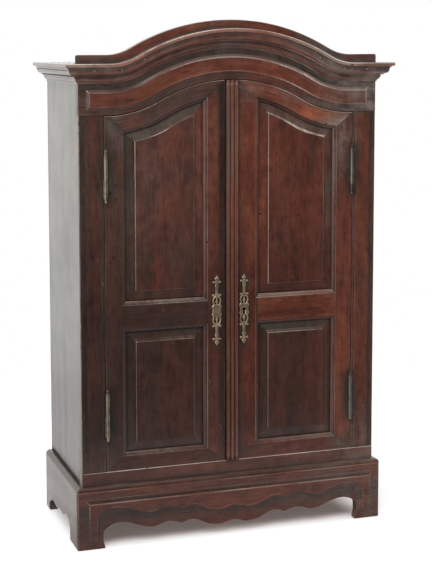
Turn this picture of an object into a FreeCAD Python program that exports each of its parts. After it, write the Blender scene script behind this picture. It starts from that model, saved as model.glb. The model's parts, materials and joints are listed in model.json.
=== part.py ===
import FreeCAD, Part
import math
import os

# Small two-door armoire with an arched frieze and cornice on a scalloped base.
# Millimetres. The origin lies under the middle of the box, X right, Y to the back, Z up.

V = FreeCAD.Vector

# Carcass
carcass_depth = 189.0
side_board = 8.0
front_board = 13.0
back_board = 8.0
back_board_count = 3
back_board_gap = 0.4
top_board = 10.0
bottom_board = 10.0
bottom_board_step = 4.5
bottom_rail_height = 17.5
opening_height = 473.5
opening_half = 176.5
front_stile = 25.5
stile_bead = 3.5
bead_groove = 0.8

# Base
base_height = 84.0
base_overhang = 8.5
base_board = 13.0
base_seat = 12.0
base_top_round = 6.5
base_toe_round = 3.0
base_corner_round = 4.0
foot_width = 35.5
foot_toe = 2.0
foot_toe_height = 4.0
foot_waist_height = 11.0
apron_cusp = 74.0
bracket_front_foot = 45.0
bracket_back_foot = 19.5
back_rail_height = 38.0
corner_block = 22.0
corner_block_height = 32.0
# Scalloped edge: share of the way along each lobe, then height above the floor.
outer_lobe = [(0.0, 23.0), (0.032, 27.4), (0.087, 31.2), (0.229, 34.2), (0.394, 29.7), (0.56, 23.9),
              (0.642, 23.3), (0.752, 26.7), (0.826, 28.2), (0.89, 27.4), (1.0, 23.6)]
inner_lobe = [(0.0, 23.6), (0.095, 26.4), (0.176, 27.4), (0.297, 25.9), (0.5, 18.8), (0.622, 17.0),
              (0.77, 16.5), (0.905, 19.2), (1.0, 20.4)]
bracket_lobe = [(0.0, 14.0), (0.03, 23.0), (0.113, 30.0), (0.226, 27.5), (0.353, 23.2), (0.489, 24.0),
                (0.624, 20.0), (0.767, 22.0), (0.902, 19.0), (1.0, 10.0)]

# Raised field on the apron
apron_field_proud = 2.0
apron_field_bevel = 4.0
apron_field_end = 12.5
apron_field_top = 66.0
apron_field_border = 18.0
apron_field_foot_border = 5.0
apron_field_foot = 9.0

# Arch shared by the frieze, the cornice and the doors: lower edge of the frieze
arch_rise = 46.0
shoulder_x = 171.0
crown_radius = 200.0

# Frieze board, its raised field and the cornice, as offsets from the arch
frieze_height = 78.5
frieze_end_round = 3.0
frieze_field_bottom = 7.0
frieze_field_top = 33.0
frieze_field_end = 11.0
frieze_field_bevel = 3.8
frieze_field_proud = 2.0
cornice_top = 67.0
cornice_projection = 20.0
cornice_lip = 4.5
cyma_foot = 8.5
cyma_drop = 15.0
cyma_hollow = 1.6
fillet_drop = 16.4
ovolo_top = 5.4
ovolo_foot = 1.2
ovolo_drop = 24.0
ovolo_bulge = 1.2
cornice_height = 26.0
left_brad_insets = [19.0, 55.0, 86.0]
right_brad_insets = [20.0, 53.0, 89.0]
brad_drop = 9.0
brad_radius = 0.9
brad_proud = 0.2
brad_depth = 5.0
brad_clearance = 0.05

# Doors
door_edge_gap = 0.7
door_top_gap = 1.0
door_bottom_gap = 0.5
door_stop_gap = 0.3
meeting_x = -9.0
meeting_gap = 1.2
hinge_stile = 23.8
meeting_stile_line = 35.0
top_rail = 20.0
bottom_rail = 19.0
lower_panel_height = 171.0
middle_rail = 32.0
# Moulded inner edge of the door frame: inset from the frame's face edge, then depth below the face.
sticking = [(0.0, 0.8), (1.8, 1.1), (3.4, 1.9), (4.5, 3.2)]
groove_depth = 6.0
groove_front = 4.6
groove_back = 9.6
panel_side_clearance = 0.5
panel_back_clearance = 0.1
panel_tongue_front = 6.6
panel_margin = 17.5
panel_bevel_top = 2.6
panel_step_inset = 0.4
panel_face = 1.2

# Reeded astragal on the right door
astragal_half = 9.0
astragal_proud = 4.5
astragal_quirk = 2.2
reed_count = 3

# Barrel hinges
lower_hinge_rise = 76.5
upper_hinge_drop = 79.5
hinge_radius = 2.75
hinge_inset = 1.3
hinge_proud = 3.2
hinge_half = 30.0
hinge_neck = 0.8
hinge_neck_radius = 1.8
hinge_ball = 2.3
hinge_split_gap = 0.2
pin_radius = 1.5
pin_length = 24.0
pin_root = 5.0
pin_clearance = 0.05
leaf_thickness = 1.2
leaf_depth = 10.5
leaf_margin = 4.0
leaf_length = 24.0

# Escutcheons
left_escutcheon_x = -21.5
right_escutcheon_x = 17.5
escutcheon_rise = 17.5
escutcheon_thickness = 1.2
plate_half_width = 6.0
plate_half_height = 8.0
lug_x = 5.4
lug_height = 5.2
lug_radius = 1.7
ring_height = 13.0
ring_half_width = 6.2
ring_half_height = 7.6
ring_band = 2.0
tear_height = 12.0
tear_radius = 1.9
tear_bar_half = 0.8
tear_bar_reach = 19.0
inner_bar_height = 21.0
inner_bar_half = 4.9
inner_bar_thickness = 2.0
inner_knob = 1.6
outer_bar_height = 38.8
outer_bar_half = 4.6
outer_bar_thickness = 1.8
outer_knob = 1.5
stem_half = 1.8
bulb_height = 33.5
bulb_radius = 2.75
finial_height = 43.4
finial_half_width = 3.1
finial_half_height = 2.4
finial_tip = 47.5
finial_tip_half = 0.7
escutcheon_pin_radius = 0.7
escutcheon_pin_head = 1.1
escutcheon_pin_head_height = 0.5
escutcheon_pin_depth = 4.0
key_radius = 2.0
key_slot = 2.2
key_drop = 7.0

# Lock on the back of the right door and its keeper on the left door
lock_left = -7.0
lock_width = 38.0
lock_depth = 12.0
lock_drop = 17.5
lock_height = 34.0
lock_wall = 1.5
lock_clearance = 0.3
lock_bolt_rise = 4.5
lock_bolt_height = 8.0
lock_bolt_length = 32.0
lock_bolt_set_back = 0.5
talon_half = 4.0
talon_depth = 3.0
key_post_radius = 1.2
keeper_right = -12.5
keeper_width = 14.5

# Sliding bolts on the back of the left door
bolt_x = -22.5
bolt_stand_off = 5.5
bolt_radius = 2.5
bolt_clearance = 0.05
bolt_hole_clearance = 0.3
bolt_knob_reach = 9.0
bolt_guide_width = 14.0
bolt_guide_depth = 9.5
bolt_guide_height = 6.0
top_bolt_drop = 9.0
top_bolt_length = 82.0
bottom_bolt_rise = 2.0
bottom_bolt_length = 84.0
bolt_knob_rise = [35.0, 42.0]
bolt_guide_rise = [10.0, 64.0]
keeper_block_rise = 1.0
keeper_block_height = 9.0

# Shelves, cleats and door stops
shelf_rise = [("lower", 174.0), ("upper", 349.0)]
shelf_thickness = 8.0
shelf_front_set_back = 34.5
shelf_clearance = 0.5
cleat_width = 8.0
cleat_height = 10.0
cleat_length = 120.0
stop_from = 45.0
stop_length = 45.0
stop_drop = 9.0
stop_rise = 14.0
stop_thickness = 10.0

# Worked out from the values above
half = opening_half + front_stile + side_board
face = cornice_projection - (carcass_depth + cornice_projection) / 2
back = face + carcass_depth
inner_face = face + front_board
inside_half = half - side_board
base_half = half + base_overhang
base_front = face - base_overhang
carcass_bottom = base_height - base_seat
bottom_rail_top = base_height + bottom_rail_height
bottom_board_top = bottom_rail_top + bottom_board_step
spring_z = bottom_rail_top + opening_height
side_top = spring_z + cornice_top - top_board
hollow_radius = (shoulder_x ** 2 + arch_rise ** 2) / (2 * arch_rise) - crown_radius
arch_span = crown_radius + hollow_radius
crown_z = spring_z + arch_rise - crown_radius
hollow_z = spring_z + hollow_radius
arch_angle = math.degrees(math.asin(shoulder_x / arch_span))
brad_places = [-half + inset for inset in left_brad_insets]
brad_places += [half - inset for inset in right_brad_insets]
door_edge = opening_half - door_edge_gap
door_bottom = bottom_rail_top + door_bottom_gap
bottom_rail_line = door_bottom + bottom_rail
middle_rail_bottom = bottom_rail_line + lower_panel_height
middle_rail_top = middle_rail_bottom + middle_rail
hinge_heights = [("lower", door_bottom + lower_hinge_rise), ("upper", spring_z - upper_hinge_drop)]
escutcheon_middle = middle_rail_bottom + escutcheon_rise
lock_bottom = escutcheon_middle - lock_drop
lock_bolt_bottom = escutcheon_middle + lock_bolt_rise
shelf_tops = [(name, bottom_board_top + rise) for name, rise in shelf_rise]
door_thickness = front_board - door_stop_gap
door_back = face + door_thickness
panel_outer = door_edge - hinge_stile
hinge_x = door_edge - hinge_inset
hinge_y = face - hinge_proud
bolt_y = door_back + bolt_stand_off
top_bolt_top = spring_z + arch_rise - top_bolt_drop
bottom_bolt_bottom = bottom_board_top + bottom_bolt_rise
keeper_block_bottom = spring_z + arch_rise + keeper_block_rise
stop_to = stop_from + stop_length
over = 1.0

made = {}


def box(x0, x1, y0, y1, z0, z1):
    return Part.makeBox(x1 - x0, y1 - y0, z1 - z0, V(x0, y0, z0))


def rod(radius, start, length, direction):
    return Part.makeCylinder(radius, length, start, direction)


def mirrored(shape):
    return shape.mirror(V(0, 0, 0), V(1, 0, 0))


def line(p, q, y):
    return Part.makeLine(V(p[0], y, p[1]), V(q[0], y, q[1]))


def arc(p, m, q, y):
    return Part.Arc(V(p[0], y, p[1]), V(m[0], y, m[1]), V(q[0], y, q[1])).toShape()


def curve(points, y):
    spline = Part.BSplineCurve()
    spline.interpolate([V(x, y, z) for x, z in points])
    return spline.toShape()


def polygon(points, y):
    return [line(points[i - 1], points[i], y) for i in range(len(points))]


def prism(edges, depth):
    return Part.Face(Part.Wire(edges)).extrude(V(0, depth, 0))


def ruled(sections):
    return Part.makeLoft([Part.Wire(edges) for edges in sections], True, True)


def keep(name, shape):
    made[name] = shape


# Arch: hollow, crown, hollow between two level shoulders, at any offset outwards
def arch_height(x, offset):
    x = abs(x)
    turn = shoulder_x * (crown_radius + offset) / arch_span
    if x <= turn:
        return crown_z + math.sqrt((crown_radius + offset) ** 2 - x ** 2)
    if x < shoulder_x:
        return hollow_z - math.sqrt((hollow_radius - offset) ** 2 - (shoulder_x - x) ** 2)
    return spring_z + offset


def arch_edges(x_from, x_to, offset, y):
    turn = shoulder_x * (crown_radius + offset) / arch_span
    low, high = min(x_from, x_to), max(x_from, x_to)
    stops = [x for x in (-shoulder_x, -turn, turn, shoulder_x) if low < x < high]
    stops = sorted([low, high] + stops)
    if x_from > x_to:
        stops.reverse()
    edges = []
    for a, b in zip(stops, stops[1:]):
        middle = (a + b) / 2
        p = (a, arch_height(a, offset))
        q = (b, arch_height(b, offset))
        if abs(middle) > shoulder_x:
            edges.append(line(p, q, y))
        else:
            edges.append(arc(p, (middle, arch_height(middle, offset)), q, y))
    return edges


# Base
def wave(half_span, lift):
    outer = [(half_span - t * (half_span - apron_cusp), z + lift) for t, z in outer_lobe]
    inner = [(apron_cusp * (1 - t), z + lift) for t, z in inner_lobe]
    return outer, inner


def wave_edges(half_span, lift, y):
    outer, inner = wave(half_span, lift)
    left_outer = [(-x, z) for x, z in outer]
    left_inner = [(-x, z) for x, z in inner]
    return [curve(left_outer, y), curve(left_inner, y), curve(inner[::-1], y), curve(outer[::-1], y)]


def base_envelope():
    def section(reach):
        drop = math.sqrt(0.5)
        top, toe = base_top_round, base_toe_round
        return [
            ("line", (0, 0), (reach - toe, 0)),
            ("arc", (reach - toe, 0), (reach - toe + toe * drop, toe - toe * drop), (reach, toe)),
            ("line", (reach, toe), (reach, base_height - top)),
            ("arc", (reach, base_height - top), (reach - top + top * drop, base_height - top + top * drop),
             (reach - top, base_height)),
            ("line", (reach - top, base_height), (0, base_height)),
            ("line", (0, base_height), (0, 0)),
        ]

    def wire(reach, place):
        edges = []
        for kind, *points in section(reach):
            at = [place(*p) for p in points]
            edges.append(Part.makeLine(*at) if kind == "line" else Part.Arc(*at).toShape())
        return Part.Face(Part.Wire(edges))

    front = wire(back - base_front, lambda out, z: V(-base_half, back - out, z))
    front = front.extrude(V(2 * base_half, 0, 0))
    right = wire(base_half, lambda out, z: V(out, base_front, z))
    right = right.extrude(V(0, back - base_front, 0))
    sides = right.fuse(mirrored(right))
    rounded = box(-base_half, base_half, base_front, back, 0, base_height)
    upright = [e for e in rounded.Edges if e.BoundBox.ZLength > base_height / 2]
    corners = [e for e in upright if e.BoundBox.YMax < face]
    rounded = rounded.makeFillet(base_corner_round, corners)
    return front.common(sides).common(rounded)


def make_base():
    envelope = base_envelope()
    socket = box(-half, half, face, back + over, carcass_bottom, base_height + over)
    inner = base_half - base_board
    inner_front = base_front + base_board
    span = base_half - foot_width
    toe = span - foot_toe
    y = base_front - over
    # Front apron, mitred to the brackets
    plan = [V(-base_half, base_front, 0), V(base_half, base_front, 0), V(inner, inner_front, 0),
            V(-inner, inner_front, 0), V(-base_half, base_front, 0)]
    apron = Part.Face(Part.makePolygon(plan)).extrude(V(0, 0, base_height)).common(envelope).cut(socket)
    under = [line((toe, -over), (-toe, -over), y), line((-toe, -over), (-toe, foot_toe_height), y),
             line((-toe, foot_toe_height), (-span, foot_waist_height), y),
             line((-span, foot_waist_height), (-span, outer_lobe[0][1]), y)]
    under += wave_edges(span, 0, y)
    under += [line((span, outer_lobe[0][1]), (span, foot_waist_height), y),
              line((span, foot_waist_height), (toe, foot_toe_height), y),
              line((toe, foot_toe_height), (toe, -over), y)]
    apron = apron.cut(prism(under, base_board + 2 * over))

    def field(inset, y):
        end = base_half - apron_field_end - inset
        top = apron_field_top - inset
        foot = apron_field_foot + inset
        reach = span + apron_field_foot_border + inset
        lift = apron_field_border + inset
        shoulder = outer_lobe[0][1] + lift
        edges = [line((-end, foot), (-reach, foot), y), line((-reach, foot), (-reach, shoulder), y)]
        edges += wave_edges(reach, lift, y)
        edges += [line((reach, shoulder), (reach, foot), y), line((reach, foot), (end, foot), y),
                  line((end, foot), (end, top), y), line((end, top), (-end, top), y),
                  line((-end, top), (-end, foot), y)]
        return edges

    raised = ruled([field(0, base_front), field(apron_field_bevel, base_front - apron_field_proud)])
    keep("base_front_apron", apron.fuse(raised).removeSplitter())

    # Side brackets
    plan = [V(base_half, base_front, 0), V(base_half, back, 0), V(inner, back, 0), V(inner, inner_front, 0),
            V(base_half, base_front, 0)]
    bracket = Part.Face(Part.makePolygon(plan)).extrude(V(0, 0, base_height)).common(envelope).cut(socket)
    start = base_front + bracket_front_foot
    end = back - bracket_back_foot
    points = [V(inner - over, start + t * (end - start), z) for t, z in bracket_lobe]
    spline = Part.BSplineCurve()
    spline.interpolate(points)
    low_start = V(inner - over, start, -over)
    low_end = V(inner - over, end, -over)
    outline = [Part.makeLine(low_start, points[0]), spline.toShape(), Part.makeLine(points[-1], low_end),
               Part.makeLine(low_end, low_start)]
    arch = Part.Face(Part.Wire(outline)).extrude(V(base_board + 2 * over, 0, 0))
    bracket = bracket.cut(arch)
    keep("base_right_bracket", bracket)
    keep("base_left_bracket", mirrored(bracket))
    keep("base_back_rail", box(-inner, inner, back - base_board, back,
                               carcass_bottom - back_rail_height, carcass_bottom))
    blocks = []
    for sign in (-1, 1):
        for y0 in (inner_front, back - base_board - corner_block):
            x0 = sign * (inner - corner_block / 2) - corner_block / 2
            blocks.append(box(x0, x0 + corner_block, y0, y0 + corner_block,
                              carcass_bottom - corner_block_height, carcass_bottom))
    keep("base_corner_blocks", Part.makeCompound(blocks))


# Carcass
def make_carcass():
    outline = [V(inside_half, inner_face, carcass_bottom), V(inside_half, back, carcass_bottom),
               V(inside_half, back, side_top), V(inside_half, inner_face, side_top),
               V(inside_half, inner_face, spring_z), V(inside_half, face, spring_z),
               V(inside_half, face, bottom_rail_top), V(inside_half, inner_face, bottom_rail_top)]
    side = Part.Face(Part.makePolygon(outline + outline[:1])).extrude(V(side_board, 0, 0))
    keep("right_side", side)
    keep("left_side", mirrored(side))
    back_inner = back - back_board
    floor = box(-inside_half, inside_half, inner_face, back_inner,
                bottom_board_top - bottom_board, bottom_board_top)
    hole = rod(bolt_radius + bolt_hole_clearance, V(bolt_x, bolt_y, bottom_board_top - bottom_board - over),
               bottom_board + 2 * over, V(0, 0, 1))
    keep("bottom_board", floor.cut(hole))
    keep("top_board", box(-half, half, inner_face, back, side_top, side_top + top_board))
    board = (2 * inside_half - (back_board_count - 1) * back_board_gap) / back_board_count
    for index in range(back_board_count):
        x0 = -inside_half + index * (board + back_board_gap)
        keep("back_board_%d" % (index + 1), box(x0, x0 + board, back_inner, back, carcass_bottom, side_top))
    stile = box(opening_half, inside_half, face, inner_face, bottom_rail_top, spring_z)
    groove_x = opening_half + stile_bead
    stile = stile.cut(box(groove_x, groove_x + bead_groove, face - over, face + bead_groove,
                          bottom_rail_top, spring_z))
    for name, middle in hinge_heights:
        stile = stile.cut(box(opening_half, opening_half + leaf_thickness, face - over, face + leaf_depth,
                              middle - leaf_margin - leaf_length, middle - leaf_margin))
    keep("right_front_stile", stile)
    keep("left_front_stile", mirrored(stile))
    keep("bottom_rail", box(-half, half, face, inner_face, carcass_bottom, bottom_rail_top))
    shelf_front = face + shelf_front_set_back
    reach = inside_half - shelf_clearance
    cleats = []
    for name, top in shelf_tops:
        keep(name + "_shelf", box(-reach, reach, shelf_front, back_inner, top - shelf_thickness, top))
        for x0 in (-inside_half, inside_half - cleat_width):
            under = top - shelf_thickness
            cleats.append(box(x0, x0 + cleat_width, back_inner - cleat_length, back_inner,
                              under - cleat_height, under))
    keep("shelf_cleats", Part.makeCompound(cleats))
    stop = arch_edges(stop_from, stop_to, -stop_drop, inner_face)
    stop.append(line((stop_to, arch_height(stop_to, -stop_drop)), (stop_to, arch_height(stop_to, stop_rise)),
                     inner_face))
    stop += arch_edges(stop_to, stop_from, stop_rise, inner_face)
    stop.append(line((stop_from, arch_height(stop_from, stop_rise)),
                     (stop_from, arch_height(stop_from, -stop_drop)), inner_face))
    right_stop = prism(stop, stop_thickness)
    keep("door_stops", Part.makeCompound([right_stop, mirrored(right_stop)]))
    block = box(bolt_x - bolt_guide_width / 2, bolt_x + bolt_guide_width / 2, inner_face,
                door_back + bolt_guide_depth, keeper_block_bottom, keeper_block_bottom + keeper_block_height)
    hole = rod(bolt_radius + bolt_hole_clearance, V(bolt_x, bolt_y, keeper_block_bottom - over),
               keeper_block_height + 2 * over, V(0, 0, 1))
    keep("top_bolt_keeper", block.cut(hole))


# Frieze and cornice
def cornice_face(place):
    cyma = (cornice_projection - cyma_foot, cyma_drop - cornice_lip)
    slope = math.hypot(*cyma)
    normal = (cyma[1] / slope, cyma[0] / slope)
    top = (cornice_projection, cornice_lip)
    foot = (cyma_foot, cyma_drop)
    centre = ((top[0] + foot[0]) / 2, (top[1] + foot[1]) / 2)

    def between(p, q, bow):
        return ((p[0] + q[0]) / 2 + bow * normal[0], (p[1] + q[1]) / 2 + bow * normal[1])

    hollow = between(top, centre, -cyma_hollow)
    swell = between(foot, centre, cyma_hollow)
    round_top = (ovolo_top, fillet_drop)
    round_foot = (ovolo_foot, ovolo_drop)
    round_middle = ((round_top[0] + round_foot[0]) / 2 + ovolo_bulge, (round_top[1] + round_foot[1]) / 2)

    def straight(p, q):
        return Part.makeLine(place(*p), place(*q))

    def bowed(p, m, q):
        return Part.Arc(place(*p), place(*m), place(*q)).toShape()

    edges = [straight((0, 0), (cornice_projection, 0)), straight((cornice_projection, 0), top),
             bowed(top, hollow, centre), bowed(centre, swell, foot),
             straight(foot, (cyma_foot, fillet_drop)), straight((cyma_foot, fillet_drop), round_top),
             bowed(round_top, round_middle, round_foot), straight(round_foot, (ovolo_foot, cornice_height)),
             straight((ovolo_foot, cornice_height), (0, cornice_height)),
             straight((0, cornice_height), (0, 0))]
    return Part.Face(Part.Wire(edges))


def make_cornice():
    top_z = spring_z + cornice_top
    axis = V(0, 1, 0)
    crown_top = crown_z + crown_radius + cornice_top
    crown = cornice_face(lambda out, drop: V(0, face - out, crown_top - drop))
    crown.rotate(V(0, 0, crown_z), axis, -arch_angle)
    crown = crown.revolve(V(0, 0, crown_z), axis, 2 * arch_angle)
    section = cornice_face(lambda out, drop: V(shoulder_x, face - out, top_z - drop))
    hollow = section.revolve(V(shoulder_x, 0, hollow_z), axis, arch_angle)
    flat = section.extrude(V(half + cornice_projection - shoulder_x, 0, 0))
    reach = cornice_projection + over
    beyond = Part.makePolygon([V(half, face, 0), V(half + reach, face - reach, 0), V(half + reach, face, 0),
                               V(half, face, 0)])
    flat = flat.cut(Part.Face(beyond).extrude(V(0, 0, top_z + over)))
    front = crown.fuse([hollow, mirrored(hollow), flat, mirrored(flat)]).removeSplitter()
    run = cornice_face(lambda out, drop: V(half + out, face - cornice_projection, top_z - drop))
    run = run.extrude(V(0, back - face + cornice_projection, 0))
    before = Part.makePolygon([V(half, face, 0), V(half + reach, face - reach, 0), V(half, face - reach, 0),
                               V(half, face, 0)])
    run = run.cut(Part.Face(before).extrude(V(0, 0, top_z + over)))
    keep("cornice_right_return", run)
    keep("cornice_left_return", mirrored(run))

    # Frieze board: arched above and below, with rounded upper ends
    y = face
    end_z = spring_z + frieze_height
    soft = frieze_end_round * (1 - math.sqrt(0.5))
    outline = arch_edges(-half, half, 0, y)
    outline.append(line((half, spring_z), (half, end_z - frieze_end_round), y))
    outline.append(arc((half, end_z - frieze_end_round), (half - soft, end_z - soft),
                       (half - frieze_end_round, end_z), y))
    outline += arch_edges(half - frieze_end_round, -half + frieze_end_round, frieze_height, y)
    outline.append(arc((-half + frieze_end_round, end_z), (-half + soft, end_z - soft),
                       (-half, end_z - frieze_end_round), y))
    outline.append(line((-half, end_z - frieze_end_round), (-half, spring_z), y))
    frieze = prism(outline, front_board)

    def field(inset, y):
        end = half - frieze_field_end - inset
        low = frieze_field_bottom + inset
        high = frieze_field_top - inset
        edges = arch_edges(-end, end, low, y)
        edges.append(line((end, arch_height(end, low)), (end, arch_height(end, high)), y))
        edges += arch_edges(end, -end, high, y)
        edges.append(line((-end, arch_height(end, high)), (-end, arch_height(end, low)), y))
        return edges

    raised = ruled([field(0, face), field(frieze_field_bevel, face - frieze_field_proud)])
    frieze = frieze.fuse(raised).removeSplitter()

    # Brads through the cornice into the frieze
    brads = []
    band = cornice_top - brad_drop
    surface = cornice_projection - (brad_drop - cornice_lip) * (cornice_projection - cyma_foot) / (
        cyma_drop - cornice_lip)
    for x in brad_places:
        start = V(x, face - surface - brad_proud, arch_height(x, band))
        length = surface + brad_proud + brad_depth
        brads.append(rod(brad_radius, start, length, V(0, 1, 0)))
        hole = rod(brad_radius + brad_clearance, start + V(0, -over, 0), length + over, V(0, 1, 0))
        front = front.cut(hole)
        frieze = frieze.cut(hole)
    keep("cornice_front", front)
    keep("frieze_board", frieze)
    keep("cornice_brads", Part.makeCompound(brads))


# Doors, drawn as the right door and mirrored for the left one
def opening(kind, out, y):
    x0, x1 = meeting_stile_line - out, panel_outer + out
    if kind == "lower":
        z0, z1 = bottom_rail_line - out, middle_rail_bottom + out
        return polygon([(x0, z0), (x1, z0), (x1, z1), (x0, z1)], y)
    z0 = middle_rail_top - out
    offset = out - door_top_gap - top_rail
    edges = [line((x0, z0), (x1, z0), y), line((x1, z0), (x1, arch_height(x1, offset)), y)]
    edges += arch_edges(x1, x0, offset, y)
    edges.append(line((x0, arch_height(x0, offset)), (x0, z0), y))
    return edges


def door_pieces(meeting):
    blank = [line((meeting, door_bottom), (door_edge, door_bottom), face),
             line((door_edge, door_bottom), (door_edge, arch_height(door_edge, -door_top_gap)), face)]
    blank += arch_edges(door_edge, meeting, -door_top_gap, face)
    blank.append(line((meeting, arch_height(meeting, -door_top_gap)), (meeting, door_bottom), face))
    frame = prism(blank, door_thickness)
    sight = sticking[-1][0]
    panels = {}
    for kind in ("upper", "lower"):
        sections = [opening(kind, 0, face - over)]
        sections += [opening(kind, -inset, face + depth) for inset, depth in sticking]
        sections.append(opening(kind, -sight, door_back + over))
        frame = frame.cut(ruled(sections))
        groove = prism(opening(kind, groove_depth - sight, face + groove_front), groove_back - groove_front)
        frame = frame.cut(groove)
        tongue = groove_depth - sight - panel_side_clearance
        panels[kind] = ruled([
            opening(kind, tongue, face + groove_back - panel_back_clearance),
            opening(kind, tongue, face + panel_tongue_front),
            opening(kind, -panel_margin, face + panel_bevel_top),
            opening(kind, -panel_margin - panel_step_inset, face + panel_face)])
    # Mitred corners, butted middle rail
    deep = 2 * groove_depth
    top = -door_top_gap - top_rail
    corner = {
        "hinge_low": (panel_outer, bottom_rail_line), "lock_low": (meeting_stile_line, bottom_rail_line),
        "hinge_high": (panel_outer, arch_height(panel_outer, top)),
        "lock_high": (meeting_stile_line, arch_height(meeting_stile_line, top))}
    inside = {name: (x + (deep if "lock" in name else -deep), z + (deep if "low" in name else -deep))
              for name, (x, z) in corner.items()}
    outside = {
        "hinge_low": (door_edge, door_bottom), "lock_low": (meeting, door_bottom),
        "hinge_high": (door_edge, arch_height(door_edge, -door_top_gap)),
        "lock_high": (meeting, arch_height(meeting, -door_top_gap))}
    above = arch_height(0, 0) + over
    middle = [(meeting_stile_line, middle_rail_bottom), (meeting_stile_line, middle_rail_top),
              (meeting_stile_line + deep, middle_rail_top + deep),
              (panel_outer - deep, middle_rail_top + deep),
              (panel_outer, middle_rail_top), (panel_outer, middle_rail_bottom),
              (panel_outer - deep, middle_rail_bottom - deep),
              (meeting_stile_line + deep, middle_rail_bottom - deep)]
    hinge = [outside["hinge_low"], corner["hinge_low"], inside["hinge_low"], inside["hinge_high"],
             corner["hinge_high"], outside["hinge_high"]]
    lock = [outside["lock_low"], corner["lock_low"], inside["lock_low"], inside["lock_high"],
            corner["lock_high"], outside["lock_high"]]
    low = [outside["lock_low"], corner["lock_low"], inside["lock_low"], inside["hinge_low"],
           corner["hinge_low"], outside["hinge_low"]]
    bend = (corner["hinge_high"][0] + corner["lock_high"][0]) / 2
    high = [(meeting, above), outside["lock_high"], corner["lock_high"], inside["lock_high"],
            (bend, arch_height(bend, top) - deep), inside["hinge_high"], corner["hinge_high"],
            outside["hinge_high"], (door_edge, above)]

    def part_of(region):
        return frame.common(prism(polygon(region, face - over), door_thickness + 2 * over))

    centre = prism(polygon(middle, face - over), door_thickness + 2 * over)
    return {"hinge_stile": part_of(hinge).cut(centre), "lock_stile": part_of(lock).cut(centre),
            "top_rail": part_of(high), "middle_rail": frame.common(centre), "bottom_rail": part_of(low),
            "upper_panel": panels["upper"], "lower_panel": panels["lower"]}


def hinge_parts(middle):
    axis = V(0, 0, 1)
    at = V(hinge_x, hinge_y, middle)
    split = hinge_split_gap / 2
    barrel = rod(hinge_radius, at + V(0, 0, -hinge_half), hinge_half - split, axis)
    neck = rod(hinge_neck_radius, at + V(0, 0, -hinge_half - 2 * hinge_neck), 3 * hinge_neck, axis)
    ball = Part.makeSphere(hinge_ball, at + V(0, 0, -hinge_half - hinge_neck - hinge_ball))
    pin = rod(pin_radius, at + V(0, 0, -pin_root), pin_root + pin_length, axis)
    leaf = box(opening_half, opening_half + leaf_thickness, hinge_y, face + leaf_depth,
               middle - leaf_margin - leaf_length, middle - leaf_margin)
    frame_leaf = barrel.fuse([neck, ball, pin, leaf])
    barrel = rod(hinge_radius, at + V(0, 0, split), hinge_half - split, axis)
    neck = rod(hinge_neck_radius, at + V(0, 0, hinge_half - hinge_neck), 3 * hinge_neck, axis)
    ball = Part.makeSphere(hinge_ball, at + V(0, 0, hinge_half + hinge_neck + hinge_ball))
    leaf = box(door_edge - leaf_thickness, door_edge, hinge_y, face + leaf_depth,
               middle + leaf_margin, middle + leaf_margin + leaf_length)
    bore = rod(pin_radius + pin_clearance, at, pin_length + over, axis)
    door_leaf = barrel.fuse([neck, ball, leaf]).cut(bore)
    return frame_leaf, door_leaf


def escutcheon(centre_x, keyhole):
    y = face - escutcheon_thickness
    t = escutcheon_thickness

    def disc(x, z, radius):
        return rod(radius, V(centre_x + x, y, escutcheon_middle + z), t, V(0, 1, 0))

    def plate(half_width, z0, z1):
        return box(centre_x - half_width, centre_x + half_width, y, y + t, escutcheon_middle + z0,
                   escutcheon_middle + z1)

    def oval(z, half_width, half_height):
        long, short = max(half_width, half_height), min(half_width, half_height)
        ellipse = Part.Ellipse(V(0, 0, 0), long, short).toShape()
        body = Part.Face(Part.Wire([ellipse])).extrude(V(0, 0, t))
        body.rotate(V(0, 0, 0), V(1, 0, 0), -90)
        if half_height > half_width:
            body.rotate(V(0, 0, 0), V(0, 1, 0), 90)
        body.translate(V(centre_x, y, escutcheon_middle + z))
        return body

    def upright(half_width, low, high, sign):
        return plate(half_width, min(sign * low, sign * high), max(sign * low, sign * high))

    def bar(half_width, thickness, knob, z):
        ends = [disc(-half_width, z, knob), disc(half_width, z, knob)]
        return [plate(half_width, z - thickness / 2, z + thickness / 2)] + ends

    body = plate(plate_half_width, -plate_half_height, plate_half_height)
    for x in (-lug_x, lug_x):
        body = body.fuse([disc(x, -lug_height, lug_radius), disc(x, lug_height, lug_radius)])
    for sign in (-1, 1):
        hole = oval(sign * ring_height, ring_half_width - ring_band, ring_half_height - ring_band)
        ring = oval(sign * ring_height, ring_half_width, ring_half_height).cut(hole)
        tear = disc(0, sign * tear_height, tear_radius)
        pieces = [ring, tear, upright(tear_bar_half, 0, tear_bar_reach, sign)]
        pieces += bar(inner_bar_half, inner_bar_thickness, inner_knob, sign * inner_bar_height)
        pieces += bar(outer_bar_half, outer_bar_thickness, outer_knob, sign * outer_bar_height)
        pieces += [upright(stem_half, inner_bar_height, finial_height, sign),
                   disc(0, sign * bulb_height, bulb_radius),
                   oval(sign * finial_height, finial_half_width, finial_half_height),
                   upright(finial_tip_half, finial_height, finial_tip, sign)]
        body = body.fuse(pieces)
    if keyhole:
        body = body.cut(key_way(centre_x, y - over, t + 2 * over))
    return body.removeSplitter()


def key_way(x, y, depth):
    hole = rod(key_radius, V(x, y, escutcheon_middle), depth, V(0, 1, 0))
    slot = box(x - key_slot / 2, x + key_slot / 2, y, y + depth,
               escutcheon_middle - key_drop, escutcheon_middle)
    return hole.fuse(slot)


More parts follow.
